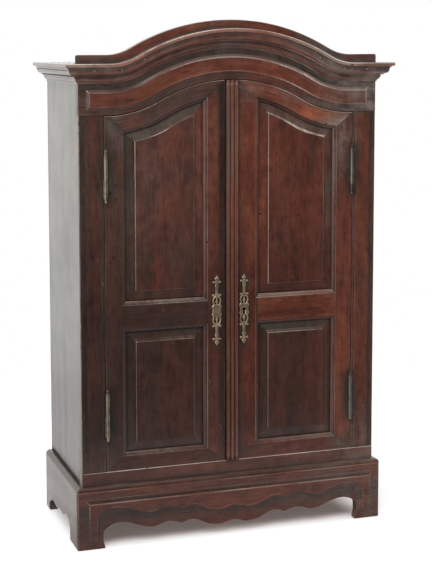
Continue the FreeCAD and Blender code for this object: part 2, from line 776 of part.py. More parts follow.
def escutcheon_pins(centre_x):
    front = face - escutcheon_thickness
    pins = []
    holes = []
    for height in (-outer_bar_height, -inner_bar_height, inner_bar_height, outer_bar_height):
        at = V(centre_x, front, escutcheon_middle + height)
        shank = rod(escutcheon_pin_radius, at, escutcheon_thickness + escutcheon_pin_depth, V(0, 1, 0))
        head = rod(escutcheon_pin_head, at + V(0, -escutcheon_pin_head_height, 0), escutcheon_pin_head_height,
                   V(0, 1, 0))
        pins.append(shank.fuse(head))
        holes.append(rod(escutcheon_pin_radius + brad_clearance, at + V(0, -over, 0),
                         escutcheon_thickness + escutcheon_pin_depth + over, V(0, 1, 0)))
    return pins, holes


def make_doors():
    left_meeting = -(meeting_x - meeting_gap)
    sets = {"right": door_pieces(meeting_x), "left": door_pieces(left_meeting)}
    for side, pieces in sets.items():
        for name, middle in hinge_heights:
            notch = box(door_edge - leaf_thickness, door_edge + over, face - over, face + leaf_depth,
                        middle + leaf_margin, middle + leaf_margin + leaf_length)
            pieces["hinge_stile"] = pieces["hinge_stile"].cut(notch)
            frame_leaf, door_leaf = hinge_parts(middle)
            turn = mirrored if side == "left" else (lambda shape: shape)
            keep("%s_%s_hinge_frame_leaf" % (side, name), turn(frame_leaf))
            keep("%s_%s_hinge_door_leaf" % (side, name), turn(door_leaf))
        if side == "left":
            for name in pieces:
                pieces[name] = mirrored(pieces[name])
        centre_x = left_escutcheon_x if side == "left" else right_escutcheon_x
        plate = escutcheon(centre_x, side == "right")
        pins, holes = escutcheon_pins(centre_x)
        for hole in holes:
            plate = plate.cut(hole)
            pieces["lock_stile"] = pieces["lock_stile"].cut(hole)
        if side == "right":
            hole = key_way(centre_x, face - over, front_board + 2 * over)
            pieces["lock_stile"] = pieces["lock_stile"].cut(hole)
        keep(side + "_escutcheon", plate)
        keep(side + "_escutcheon_pins", Part.makeCompound(pins))
        for name, shape in pieces.items():
            keep("%s_%s" % (side, name), shape)

    # Astragal with three reeds, cut to the arch of the door top
    reed = 2 * astragal_half / reed_count
    low = face - astragal_quirk
    tall = arch_height(0, 0) - door_bottom
    edges = [Part.makeLine(V(-astragal_half, face, door_bottom), V(-astragal_half, low, door_bottom))]
    for index in range(reed_count):
        x0 = -astragal_half + index * reed
        edges.append(Part.Arc(V(x0, low, door_bottom), V(x0 + reed / 2, face - astragal_proud, door_bottom),
                              V(x0 + reed, low, door_bottom)).toShape())
    edges += [Part.makeLine(V(astragal_half, low, door_bottom), V(astragal_half, face, door_bottom)),
              Part.makeLine(V(astragal_half, face, door_bottom), V(-astragal_half, face, door_bottom))]
    astragal = Part.Face(Part.Wire(edges)).extrude(V(0, 0, tall))
    astragal.translate(V(meeting_x + astragal_half, 0, 0))
    reach = 2 * astragal_half
    y = face - astragal_proud - over
    side_z = arch_height(reach, -door_top_gap)
    bound = [line((-reach, 0), (reach, 0), y), line((reach, 0), (reach, side_z), y)]
    bound += arch_edges(reach, -reach, -door_top_gap, y)
    bound.append(line((-reach, side_z), (-reach, 0), y))
    keep("right_astragal", astragal.common(prism(bound, astragal_proud + 2 * over)))


# Lock and bolts
def make_lock():
    x0, x1 = lock_left, lock_left + lock_width
    y0, y1 = door_back, door_back + lock_depth
    z0, z1 = lock_bottom, lock_bottom + lock_height
    w = lock_wall
    case = box(x0, x1, y0, y1 - w, z0, z1).cut(box(x0 + w, x1 - w, y0 + w, y1, z0 + w, z1 - w))
    bolt_top = lock_bolt_bottom + lock_bolt_height
    c = lock_clearance
    case = case.cut(box(x0 - over, x0 + w + over, y0 + w, y1 - w, lock_bolt_bottom - c, bolt_top + c))
    ledge_top = lock_bolt_bottom - c
    ledge = box(x1 - w - 2 * talon_half, x1 - w, y0 + w, y1 - w, ledge_top - w, ledge_top)
    case = case.fuse(ledge).cut(key_way(right_escutcheon_x, y0 - over, w + 2 * over)).removeSplitter()
    keep("lock_case", case)
    cap = box(x0, x1, y1 - w, y1, z0, z1)
    post = rod(key_post_radius, V(right_escutcheon_x, y0 + w, escutcheon_middle), lock_depth - w, V(0, 1, 0))
    keep("lock_cap", cap.fuse(post))
    bolt_x0 = x0 + lock_bolt_set_back
    bolt = box(bolt_x0, bolt_x0 + lock_bolt_length, y0 + w + c, y1 - w - c, lock_bolt_bottom, bolt_top)
    talon = box(right_escutcheon_x - talon_half, right_escutcheon_x + talon_half, y0, y1,
                lock_bolt_bottom - over, lock_bolt_bottom + talon_depth)
    keep("lock_bolt", bolt.cut(talon))
    k0 = keeper_right - keeper_width
    keeper = box(k0, keeper_right, y0, y1, lock_bolt_bottom - 2 * w, bolt_top + 2 * w)
    pocket = box(k0 + w, keeper_right + over, y0 + w, y1 - w, lock_bolt_bottom - c, bolt_top + c)
    keep("lock_keeper", keeper.cut(pocket))


def make_bolts():
    guides = []
    runs = [("top_bolt", top_bolt_top - top_bolt_length, top_bolt_length, bolt_knob_rise[0]),
            ("bottom_bolt", bottom_bolt_bottom, bottom_bolt_length, bolt_knob_rise[1])]
    for name, low, length, knob in runs:
        shaft = rod(bolt_radius, V(bolt_x, bolt_y, low), length, V(0, 0, 1))
        grip = rod(bolt_radius, V(bolt_x, bolt_y, low + knob), bolt_knob_reach, V(0, 1, 0))
        keep(name, shaft.fuse(grip))
        for z0 in [low + rise for rise in bolt_guide_rise]:
            guide = box(bolt_x - bolt_guide_width / 2, bolt_x + bolt_guide_width / 2, door_back,
                        door_back + bolt_guide_depth, z0, z0 + bolt_guide_height)
            guides.append(guide.cut(rod(bolt_radius + bolt_clearance, V(bolt_x, bolt_y, z0 - over),
                                        bolt_guide_height + 2 * over, V(0, 0, 1))))
    keep("bolt_guides", Part.makeCompound(guides))


make_base()
make_carcass()
make_cornice()
make_doors()
make_lock()
make_bolts()

os.makedirs("parts", exist_ok=True)
for name, shape in sorted(made.items()):
    shape.exportStep("parts/%s.step" % name)
    print(name, len(shape.Solids), shape.isValid(), round(shape.Volume))
print(len(made), "nodes")
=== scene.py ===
import bmesh
import bpy
import json
import math
import random
from mathutils import Matrix, Vector
from mathutils.bvhtree import BVHTree
from mathutils.kdtree import KDTree


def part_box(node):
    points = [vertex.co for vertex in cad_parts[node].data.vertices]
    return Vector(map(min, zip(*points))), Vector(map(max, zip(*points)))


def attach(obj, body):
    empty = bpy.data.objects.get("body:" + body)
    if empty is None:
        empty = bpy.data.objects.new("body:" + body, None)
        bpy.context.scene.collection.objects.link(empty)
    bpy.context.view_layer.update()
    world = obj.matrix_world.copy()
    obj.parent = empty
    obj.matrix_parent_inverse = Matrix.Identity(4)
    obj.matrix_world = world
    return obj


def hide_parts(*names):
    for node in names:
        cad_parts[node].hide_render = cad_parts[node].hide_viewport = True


# Small two-door armoire: worn, stained wood with brass and iron fittings. Metres.

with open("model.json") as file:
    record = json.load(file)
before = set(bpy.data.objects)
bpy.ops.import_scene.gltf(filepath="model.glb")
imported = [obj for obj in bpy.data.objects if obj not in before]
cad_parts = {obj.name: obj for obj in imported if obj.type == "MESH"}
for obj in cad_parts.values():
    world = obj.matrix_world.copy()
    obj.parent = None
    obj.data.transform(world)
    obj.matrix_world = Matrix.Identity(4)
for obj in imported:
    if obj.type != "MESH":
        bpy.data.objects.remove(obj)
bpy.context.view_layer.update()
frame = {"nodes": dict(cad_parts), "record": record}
scene = bpy.context.scene
bodyOf = {node: body for body, nodes in frame["record"]["behaviour"]["bodies"].items() for node in nodes}
print("frame loaded:", len(frame["nodes"]), "nodes")


# Camera

cameraSetup = {
    "place": (-0.6210, -1.8516, 0.6674),
    "yaw": 18.711,
    "pitch": -5.742,
    "roll": -0.052,
    "lens": 87.41,
    "sensor": 36.0,
    "shift": (0.0, -0.18),
}


def makeCamera(setup):
    yaw, pitch, roll = (math.radians(setup[k]) for k in ("yaw", "pitch", "roll"))
    ahead = Vector((math.sin(yaw) * math.cos(pitch), math.cos(yaw) * math.cos(pitch), math.sin(pitch)))
    right = Vector((math.cos(yaw), -math.sin(yaw), 0.0))
    up = right.cross(ahead)
    right, up = right * math.cos(roll) + up * math.sin(roll), up * math.cos(roll) - right * math.sin(roll)
    data = bpy.data.cameras.new("camera")
    data.sensor_width = setup["sensor"]
    data.lens = setup["lens"]
    data.shift_x, data.shift_y = setup["shift"]
    camera = bpy.data.objects.new("camera", data)
    turn = Matrix((right, up, -ahead)).transposed().to_4x4()
    camera.matrix_world = Matrix.Translation(setup["place"]) @ turn
    scene.collection.objects.link(camera)
    scene.camera = camera


makeCamera(cameraSetup)


# Node helpers

class Wire:
    # An output socket that can be used in sums.
    def __init__(self, sheet, socket):
        self.sheet, self.socket = sheet, socket

    def __add__(self, other):
        return self.sheet.work("ADD", self, other)

    def __radd__(self, other):
        return self.sheet.work("ADD", other, self)

    def __sub__(self, other):
        return self.sheet.work("SUBTRACT", self, other)

    def __rsub__(self, other):
        return self.sheet.work("SUBTRACT", other, self)

    def __mul__(self, other):
        return self.sheet.work("MULTIPLY", self, other)

    def __rmul__(self, other):
        return self.sheet.work("MULTIPLY", other, self)

    def __truediv__(self, other):
        return self.sheet.work("DIVIDE", self, other)

    def __rtruediv__(self, other):
        return self.sheet.work("DIVIDE", other, self)


class NodeSheet:
    def __init__(self, tree):
        self.tree = tree
        tree.nodes.clear()

    def node(self, kind, settings=None, sockets=None, out=0):
        made = self.tree.nodes.new(kind)
        for name, value in (settings or {}).items():
            setattr(made, name, value)
        for key, value in (sockets or {}).items():
            if isinstance(value, Wire):
                self.tree.links.new(value.socket, made.inputs[key])
            else:
                made.inputs[key].default_value = value
        return Wire(self, made.outputs[out]) if made.outputs else made

    def work(self, kind, *values):
        return self.node("ShaderNodeMath", {"operation": kind}, dict(enumerate(values)))

    def step(self, value, low, high):
        return self.node("ShaderNodeMapRange", {"interpolation_type": "SMOOTHSTEP"}, {0: value, 1: low, 2: high})

    def blend(self, share, first, second):
        return self.node("ShaderNodeMix", {"data_type": "RGBA"}, {0: share, 6: first, 7: second}, out=2)

    def vector(self, kind, first, second, out="Vector"):
        return self.node("ShaderNodeVectorMath", {"operation": kind}, {0: first, 1: second}, out=out)

    def join(self, *parts):
        return self.node("ShaderNodeCombineXYZ", {}, dict(enumerate(parts)))

    def dimmed(self, colour, level):
        return self.vector("MULTIPLY", colour, self.join(level, level, level))

    def noise(self, place, scale, detail=3.0, rough=0.5):
        return self.node("ShaderNodeTexNoise", {}, {
            "Vector": place, "Scale": scale, "Detail": detail, "Roughness": rough})

    def attribute(self, name, out="Fac"):
        return self.node("ShaderNodeAttribute", {"attribute_name": name}, out=out)

    def split(self, place):
        node = self.node("ShaderNodeSeparateXYZ", {}, {0: place}).socket.node
        return [Wire(self, socket) for socket in node.outputs]

    def ray(self, kind):
        return self.node("ShaderNodeLightPath", out="Is " + kind + " Ray")

    def bump(self, setup, height):
        return self.node("ShaderNodeBump", {}, {
            "Strength": setup["bump"], "Distance": setup["bumpDepth"], "Height": height})

    def skin(self, sockets):
        look = self.node("ShaderNodeBsdfPrincipled", {}, sockets)
        self.node("ShaderNodeOutputMaterial", {}, {"Surface": look})


def newMaterial(name):
    material = bpy.data.materials.new(name)
    material.use_nodes = True
    return material, NodeSheet(material.node_tree)


def rgb(red, green, blue):
    return (red, green, blue, 1.0)


# Studio

studio = {
    "floor": 0.70,
    "floorGrain": 0.02,
    "floorMiddle": (0.0, 0.22),
    "floorHalf": (0.95, 0.72),
    "floorCorners": 96,
    "floorDrop": 0.0002,
    "floorLift": 0.50,
    "floorMirrored": 0.5,
    "mirrorEdge": (-0.05, 0.05),
    "underHalf": (0.215, 0.092),
    "underSoft": 0.041,
    "underLift": 0.225,
    "underTint": rgb(1.0, 0.79, 0.71),
    "white": rgb(1.0, 1.0, 1.0),
    "ambient": 0.42,
    "dim": 0.05,
    "bright": 1.32,
    "brightSide": (-0.46, 0.84, 0.28),
    "brightEdge": (-0.3, 0.4),
    "lowGlow": 0.82,
    "highMore": 0.20,
    "horizon": (-0.28, 0.0),
    "glossTint": rgb(0.985, 1.0, 0.97),
    "aim": (0.0, 0.0, 0.33),
    "lamps": {
        "key": {"place": (-0.75, -1.35, 1.60), "size": 1.0, "watts": 22.0},
        "low": {"place": (-2.20, -1.50, 0.50), "size": 1.4, "watts": 14.0},
        "fill": {"place": (2.00, -1.10, 1.20), "size": 1.4, "watts": 9.0},
        "overhead": {"place": (0.10, 0.10, 2.40), "size": 1.6, "watts": 20.0},
    },
}


def makeWorld(setup):
    # White to the camera; for reflections it is bright behind and to the left, and dim in front.
    world = bpy.data.worlds.new("studio")
    world.use_nodes = True
    scene.world = world
    sheet = NodeSheet(world.node_tree)
    facing = sheet.node("ShaderNodeTexCoord", out="Generated")
    lean = sheet.vector("DOT_PRODUCT", facing, setup["brightSide"], "Value")
    fall = setup["lowGlow"] + setup["highMore"] * sheet.step(sheet.split(facing)[2], *setup["horizon"])
    glow = setup["dim"] + sheet.step(lean, *setup["brightEdge"]) * fall * (setup["bright"] - setup["dim"])
    camera, glossy = sheet.ray("Camera"), sheet.ray("Glossy")
    level = camera + (1.0 - camera) * (glossy * glow + (1.0 - glossy) * setup["ambient"])
    tint = sheet.blend(glossy, setup["white"], setup["glossTint"])
    light = sheet.node("ShaderNodeBackground", {}, {"Color": tint, "Strength": level})
    sheet.node("ShaderNodeOutputWorld", {}, {"Surface": light})


def makeLamps(setup):
    for name, lamp in setup["lamps"].items():
        data = bpy.data.lights.new(name, "AREA")
        data.shape = "DISK"
        data.size = lamp["size"]
        data.energy = lamp["watts"]
        made = bpy.data.objects.new(name, data)
        made.location = lamp["place"]
        made.visible_camera = False
        toward = Vector(setup["aim"]) - Vector(lamp["place"])
        made.rotation_euler = toward.to_track_quat("-Z", "Y").to_euler()
        scene.collection.objects.link(made)


def floorMaterial(setup):
    # Paper that is lifted to white; under the cabinet the lift is cut and tinted warm: a painted shadow with painted
    # warm bounce, lying where the cast shadow falls.
    material, sheet = newMaterial("paleFloor")
    place = sheet.node("ShaderNodeTexCoord", out="Object")
    tone = setup["floor"] + setup["floorGrain"] * sheet.noise(place, 3.0, 2.0)
    paper = sheet.node("ShaderNodeBsdfDiffuse", {}, {
        "Color": sheet.node("ShaderNodeCombineColor", {}, {0: tone, 1: tone, 2: tone})})
    x, y, z = sheet.split(place)
    (shadeX, shadeY), soft = setup["underHalf"], setup["underSoft"]
    out = sheet.work("MAXIMUM", sheet.work("ABSOLUTE", x) - shadeX, sheet.work("ABSOLUTE", y) - shadeY)
    clear = sheet.step(out, -soft, 0.1 * soft)
    lift = sheet.node("ShaderNodeEmission", {}, {
        "Color": sheet.blend(clear, setup["underTint"], setup["white"]),
        "Strength": setup["floorLift"] * (setup["underLift"] + (1.0 - setup["underLift"]) * clear)})
    both = sheet.node("ShaderNodeAddShader", {}, {0: paper, 1: lift})
    camera, glossy = sheet.ray("Camera"), sheet.ray("Glossy")
    seen = camera + glossy * sheet.step(y, *setup["mirrorEdge"]) * setup["floorMirrored"]
    shown = sheet.node("ShaderNodeMixShader", {}, {0: seen, 1: paper, 2: both})
    sheet.node("ShaderNodeOutputMaterial", {}, {"Surface": shown})
    return material


def makeFloor(setup):
    mesh = bpy.data.meshes.new("floor")
    (midX, midY), (halfX, halfY), count = setup["floorMiddle"], setup["floorHalf"], setup["floorCorners"]
    turns = [math.tau * k / count for k in range(count)]
    rim = [(midX + halfX * math.cos(turn), midY + halfY * math.sin(turn), 0) for turn in turns]
    mesh.from_pydata(rim, [], [range(count)])
    floor = bpy.data.objects.new("floor", mesh)
    floor.location.z = -setup["floorDrop"]
    mesh.materials.append(floorMaterial(setup))
    scene.collection.objects.link(floor)


makeWorld(studio)
makeLamps(studio)
makeFloor(studio)
scene.view_settings.view_transform = "Standard"
print("studio made")


# Finishes

stain = {
    "deep": rgb(0.018, 0.012, 0.01),
    "brown": rgb(0.063, 0.032, 0.024),
    "red": rgb(0.112, 0.03, 0.017),
    "orange": rgb(0.215, 0.065, 0.03),
    # Grime, which also serves as painted shade in recesses and grooves.
    "grimeShade": rgb(0.034, 0.027, 0.022),
    "pale": rgb(0.3, 0.225, 0.18),
    "bareRed": rgb(0.24, 0.095, 0.058),
    # Dust, which also serves as a painted sheen on slopes that look up.
    "dustAndSheenTone": rgb(0.135, 0.11, 0.094),
    # A painted highlight on the most worn edges.
    "glint": rgb(0.56, 0.5, 0.44),
    "roughness": 0.38,
    "index": 1.36,
    "under": 0.2,
    "coat": 1.0,
    "coatRoughness": 0.26,
    "bump": 0.07,
    "bumpDepth": 0.0006,
}

# Noises of a wood: stretch along the grain, scale, detail, roughness.
stainNoises = {
    "broad": (0.05, 26.0, 3.0, 0.5),
    "streak": (0.05, 95.0, 3.0, 0.55),
    "hair": (0.12, 420.0, 3.0, 0.6),
    "drift": (0.22, 60.0, 3.0, 0.6),
    "patch": (1.0, 11.0, 5.0, 0.6),
    "mottle": (1.0, 70.0, 4.0, 0.65),
    "chips": (1.0, 240.0, 2.0, 0.6),
}

# Lower down, from about a third of the height to near the foot, the wood is darker except at the right edge: painted
# shade of the light falling off downwards, together with a darker finish there.
lowerDoorDarkening = {"upper": (0.46, 0.30), "lower": (0.085, 0.14), "right": (0.165, 0.10), "depth": 0.36}


seedStep = {"x": 3.1, "y": 1.7, "z": 2.3, "spread": 4.0}


def boardPlace(sheet, seed, sag=0.0):
    # Each board has its own part of the noise, and on an arched board the grain follows the arch.
    place = sheet.node("ShaderNodeTexCoord", out="Object")
    x, y, z = (seed * seedStep[axis] for axis in "xyz")
    return place, sheet.vector("ADD", place, sheet.join(x, y, z - sag))


def grainNoises(sheet, own, grain, noises):
    made = []
    for along, scale, detail, rough in noises.values():
        stretched = sheet.vector("MULTIPLY", own, [along if axis == grain else 1.0 for axis in "xyz"])
        made.append(sheet.noise(stretched, scale, detail, rough))
    return made


def stainedWood(grain, band=None):
    material, sheet = newMaterial("stained_wood_" + grain + ("_band" if band else ""))
    seed, warmth, shade = sheet.split(sheet.attribute("board", "Vector"))
    # The habit's first value, soot, also carries the painted side shade of lean.
    sooty, paleEdge, edgeShare = sheet.split(sheet.attribute("habit", "Vector"))
    wear, recess, sag, dustAndSheen = (sheet.attribute(name) for name in ("edgeWear", "recess", "sag", "dustAndSheen"))
    place, own = boardPlace(sheet, seed, sag)
    broad, streak, hair, drift, patch, mottle, chips = grainNoises(sheet, own, grain, stainNoises)

    # Stain; darkening by grime and by painted shade in recesses and grooves; dust with a painted sheen. Edge wear
    # below zero is a groove, dark with grime and painted shade.
    redness = sheet.step(broad * 0.5 + streak * 0.4 + drift * 0.4 + patch * 0.6 + warmth, 0.76, 1.24)
    colour = sheet.blend(redness, stain["brown"], stain["red"])
    rubbed = sheet.step(patch * 0.7 + drift * 0.5 + mottle * 0.3 + streak * 0.3 + warmth * 1.3, 1.16, 1.62)
    colour = sheet.blend(rubbed * 0.8, colour, stain["orange"])
    uneven = (patch - 0.5) * 2.2 + (drift - 0.5) * 1.0 + (streak - 0.5) * 1.0 + (mottle - 0.5) * 0.8
    groove = sheet.work("MAXIMUM", 0.0 - wear, 0.0)
    grimeAndShade = sheet.step((recess + groove) * 2.2 + sooty + uneven, -0.05, 1.0)
    colour = sheet.blend(grimeAndShade * 0.90, colour, stain["grimeShade"])
    colour = sheet.blend(sheet.step(hair, 0.42, 0.28) * 0.5, colour, stain["deep"])
    # A film of dust, and a painted sheen on slopes that look up, both patchy.
    dustAndSheenPatches = sheet.step(patch * 0.7 + drift * 0.5 + mottle * 0.3, 0.58, 0.94)
    colour = sheet.blend(dustAndSheen * dustAndSheenPatches, colour, stain["dustAndSheenTone"])
    x, y, z = sheet.split(place)
    # A painted shadow of the astragal on the left lock stile: darker towards its right edge, most near the top.
    if band:
        height = sheet.step(z, band["low"], band["high"])
        reach = sheet.step(x, band["from"], band["to"]) * (band["least"] + (1.0 - band["least"]) * height)
        colour = sheet.blend(reach * 0.85, colour, stain["deep"])
    # Painted shade of light falling off downwards, with a darker finish, lower down the wood.
    dim = sheet.step(z, *lowerDoorDarkening["upper"]) * sheet.step(z, *lowerDoorDarkening["lower"]) * sheet.step(x, *lowerDoorDarkening["right"])
    level = shade * (1.0 - lowerDoorDarkening["depth"] * dim) * (
        0.53 + 0.28 * sheet.step(hair, 0.28, 0.72) + 0.36 * sheet.step(mottle, 0.30, 0.70)
        + 0.34 * sheet.step(drift, 0.32, 0.68))
    colour = sheet.dimmed(colour, level)

    # Edges rubbed bare with a painted glint on the most worn, dents, scratches and worm holes.
    chipped = chips * 0.4 + streak * 0.5 + patch * 0.7
    worn = wear * edgeShare * (0.25 + 0.75 * sheet.step(chipped, 0.60, 0.96))
    bare = sheet.blend(sheet.step(paleEdge + (patch - 0.5) * 1.2, 0.2, 0.8), stain["bareRed"], stain["pale"])
    colour = sheet.blend(worn, colour, bare)
    # A painted highlight on the most worn edges.
    glint = sheet.step(wear * edgeShare, 1.3, 2.2) * sheet.step(chipped, 0.66, 0.90) * 0.75
    colour = sheet.blend(glint, colour, stain["glint"])
    dents = sheet.step(chips, 0.69, 0.78) * sheet.step(patch, 0.46, 0.62)
    colour = sheet.blend(dents * 0.25, colour, stain["pale"])
    slant = sheet.node("ShaderNodeVectorRotate", {"rotation_type": "Y_AXIS"}, {"Vector": own, "Angle": 0.45})
    scratch = sheet.step(sheet.noise(sheet.vector("MULTIPLY", slant, (1.0, 1.0, 0.15)), 340.0, 1.0), 0.73, 0.79)
    colour = sheet.blend(scratch * sheet.step(patch, 0.48, 0.62) * 0.2, colour, stain["pale"])
    holes = sheet.step(sheet.noise(own, 210.0, 0.0), 0.82, 0.84) * sheet.step(patch, 0.50, 0.54)
    colour = sheet.blend(holes * 0.9, colour, stain["deep"])

    dry = sheet.step(streak * 0.6 + hair * 0.4, 0.50, 0.66)
    gloss = stain["coat"] * (1.0 - 0.9 * holes) * (1.0 - 0.95 * sheet.step(groove, 0.3, 0.6)) * (1.0 - 0.25 * dry)
    rough = stain["roughness"] + 0.20 * (patch - 0.5) + 0.12 * (hair - 0.5) + 0.12 * grimeAndShade + 0.6 * groove
    height = hair * 0.6 + streak * 0.6 - dents * 0.5 - holes
    sheet.skin({
        "Base Color": colour, "Roughness": rough, "IOR": stain["index"], "Specular IOR Level": stain["under"],
        "Coat Weight": gloss, "Coat IOR": stain["index"], "Coat Roughness": stain["coatRoughness"],
        "Normal": sheet.bump(stain, height)})
    return material


plainWood = {
    "light": rgb(0.21, 0.12, 0.062),
    "dark": rgb(0.095, 0.05, 0.027),
    "stainMark": rgb(0.04, 0.023, 0.015),
    "pale": rgb(0.33, 0.22, 0.13),
    "roughness": 0.62,
    "bump": 0.35,
    "bumpDepth": 0.0006,
}
plainNoises = {"bands": (0.05, 48.0, 4.0, 0.6), "fine": (0.05, 420.0, 3.0, 0.6), "patch": (1.0, 8.0, 4.0, 0.6)}


def innerWood(grain):
    material, sheet = newMaterial("inner_wood_" + grain)
    seed, warmth, shade = sheet.split(sheet.attribute("board", "Vector"))
    place, own = boardPlace(sheet, seed)
    bands, fine, patch = grainNoises(sheet, own, grain, plainNoises)
    wear = sheet.attribute("edgeWear")
    colour = sheet.blend(sheet.step(bands * 0.7 + fine * 0.4, 0.36, 0.74), plainWood["dark"], plainWood["light"])
    colour = sheet.blend(sheet.step(patch, 0.46, 0.72) * 0.7, colour, plainWood["stainMark"])
    colour = sheet.dimmed(colour, shade * (0.8 + 0.4 * fine))
    colour = sheet.blend(wear * (0.2 + 0.6 * patch), colour, plainWood["pale"])
    rough = plainWood["roughness"] + 0.25 * (patch - 0.5)
    bumped = sheet.bump(plainWood, fine * 0.6 + bands)
    sheet.skin({"Base Color": colour, "Roughness": rough, "Normal": bumped})
    return material


metals = {
    "aged_brass": {
        "body": rgb(0.34, 0.248, 0.152), "dull": rgb(0.152, 0.111, 0.069), "rubbed": rgb(0.58, 0.46, 0.32),
        "spot": rgb(0.07, 0.064, 0.04), "roughness": 0.40, "metallic": 0.65},
    "hinge_steel": {
        "body": rgb(0.3, 0.24, 0.175), "dull": rgb(0.09, 0.07, 0.05), "rubbed": rgb(0.72, 0.6, 0.45),
        "spot": rgb(0.045, 0.04, 0.032), "roughness": 0.36, "metallic": 0.75},
    "hinge_dark": {
        "body": rgb(0.19, 0.17, 0.135), "dull": rgb(0.06, 0.052, 0.042), "rubbed": rgb(0.66, 0.6, 0.5),
        "spot": rgb(0.035, 0.032, 0.027), "roughness": 0.38, "metallic": 0.75},
    "dark_iron": {
        "body": rgb(0.075, 0.07, 0.06), "dull": rgb(0.028, 0.024, 0.02), "rubbed": rgb(0.26, 0.23, 0.17),
        "spot": rgb(0.09, 0.042, 0.02), "roughness": 0.50, "metallic": 0.75},
    "pale_brad": {
        "body": rgb(0.42, 0.36, 0.29), "dull": rgb(0.2, 0.17, 0.135), "rubbed": rgb(0.7, 0.62, 0.52),
        "spot": rgb(0.08, 0.06, 0.045), "roughness": 0.45, "metallic": 0.4},
}
metalBump = {"bump": 0.3, "bumpDepth": 0.0002}


def metal(name):
    tone = metals[name]
    material, sheet = newMaterial(name)
    place = sheet.node("ShaderNodeTexCoord", out="Object")
    cloud = sheet.noise(place, 60.0, 4.0, 0.6)
    grit = sheet.noise(place, 900.0, 3.0, 0.6)
    wear = sheet.attribute("edgeWear")
    colour = sheet.blend(sheet.step(cloud, 0.35, 0.62), tone["dull"], tone["body"])
    colour = sheet.blend(sheet.step(grit * 0.6 + cloud * 0.5, 0.62, 0.72) * 0.5, colour, tone["spot"])
    colour = sheet.blend(wear * (0.3 + 0.6 * cloud), colour, tone["rubbed"])
    rough = tone["roughness"] + 0.3 * (cloud - 0.5) - 0.1 * wear
    bumped = sheet.bump(metalBump, grit + cloud)
    sheet.skin({"Base Color": colour, "Roughness": rough, "Metallic": tone["metallic"], "Normal": bumped})
    return material


# The painted shadow of the astragal on the left lock stile: x where it starts and where it is full, its least share
# low down, and the heights over which it grows.
astragalShadowBand = {"from": -0.0215, "to": -0.0155, "least": 0.35, "low": 0.22, "high": 0.52}
stainedLooks = {grain: stainedWood(grain) for grain in "xyz"}
stainedLooks["band"] = stainedWood("z", astragalShadowBand)
innerLooks = {grain: innerWood(grain) for grain in "xyz"}
metalLooks = {name: metal(name) for name in metals}
print("finishes made")


# Pieces with worn edges, taken from the frame's own meshes

axes = {"x": Vector((1.0, 0.0, 0.0)), "y": Vector((0.0, 1.0, 0.0)), "z": Vector((0.0, 0.0, 1.0))}
edgeRules = {
    "sharp": math.radians(24.0),
    "crease": math.radians(32.0),
    "flat": math.radians(0.3),
    "weld": 2e-5,
    "cut": 1e-6,
    "probe": 0.0003,
    "touching": 0.00006,
    "room": 2.3,
    "fineWear": 0.9,
    "stripWear": 0.9,
}


def within(value, low=0.0, high=1.0):
    return max(low, min(high, value))


def wholeTree():
    points, faces, owners = [], [], []
    for name, node in frame["nodes"].items():
        first = len(points)
        points += [v.co.copy() for v in node.data.vertices]
        faces += [[first + k for k in face.vertices] for face in node.data.polygons]
        owners += [name] * len(node.data.polygons)
    return BVHTree.FromPolygons(points, faces), owners


solids, owners = wholeTree()


def openNode(node, joinFlat=True):
    # A working copy of a node's mesh.
    mesh = bmesh.new()
    mesh.from_mesh(frame["nodes"][node].data)
    bmesh.ops.remove_doubles(mesh, verts=mesh.verts, dist=edgeRules["weld"])
    if joinFlat:
        bmesh.ops.dissolve_limit(mesh, angle_limit=edgeRules["flat"], verts=mesh.verts, edges=mesh.edges)
    return mesh


def closeNode(mesh, name):
    done = bpy.data.meshes.new(name)
    mesh.to_mesh(done)
    mesh.free()
    return done


def isOpen(edge, node):
    # An edge where another piece lies against one of its faces doesn't wear.
    middle = (edge.verts[0].co + edge.verts[1].co) / 2
    along = (edge.verts[1].co - edge.verts[0].co).normalized()
    for face in edge.link_faces:
        inward = face.normal.cross(along)
        if inward.dot(face.calc_center_median() - middle) < 0.0:
            inward.negate()
        near = solids.find_nearest_range(middle + inward * edgeRules["probe"], edgeRules["touching"])
        if any(owners[hit[2]] != node for hit in near):
            return False
    return True


def hasRoom(edge, width):
    return all(face.calc_area() > edgeRules["room"] * width * max(side.calc_length() for side in face.edges)
               for face in edge.link_faces)


def roundOver(mesh, node, width, segments, wear, level, clamp, seams):
    chosen = [edge for edge in mesh.edges if len(edge.link_faces) == 2 and edge.is_convex
              and edge.calc_face_angle(0.0) > edgeRules["sharp"] and hasRoom(edge, width)
              and (seams or isOpen(edge, node))]
    if not chosen:
        return
    made = bmesh.ops.bevel(mesh, geom=chosen, offset=width, offset_type="OFFSET", segments=segments,
                           profile=0.5, affect="EDGES", clamp_overlap=clamp)
    for face in made["faces"]:
        face[wear] = level
        face.smooth = True


def cutAt(mesh, axis, spot):
    normal = axes[axis]
    bmesh.ops.bisect_plane(mesh, geom=mesh.verts[:] + mesh.edges[:] + mesh.faces[:], dist=edgeRules["cut"],
                           plane_co=normal * spot, plane_no=normal)


def cutGrid(mesh, steps):
    # Splits wide faces so that the grime and painted shade of recesses have points to lie on.
    for k, (axis, step) in enumerate(zip("xyz", steps)):
        if not step:
            continue
        places = [v.co[k] for v in mesh.verts]
        first, last = min(places), max(places)
        count = int((last - first) / step)
        for j in range(count):
            cutAt(mesh, axis, first + (last - first) * (j + 0.5) / count)


# How hidden each point is by what stands near it; the stain darkens by it as painted shade in recesses, together with
# grime.
recessScan = {"turns": 14, "lift": math.radians(13.0), "reach": 0.014, "fall": 0.6}


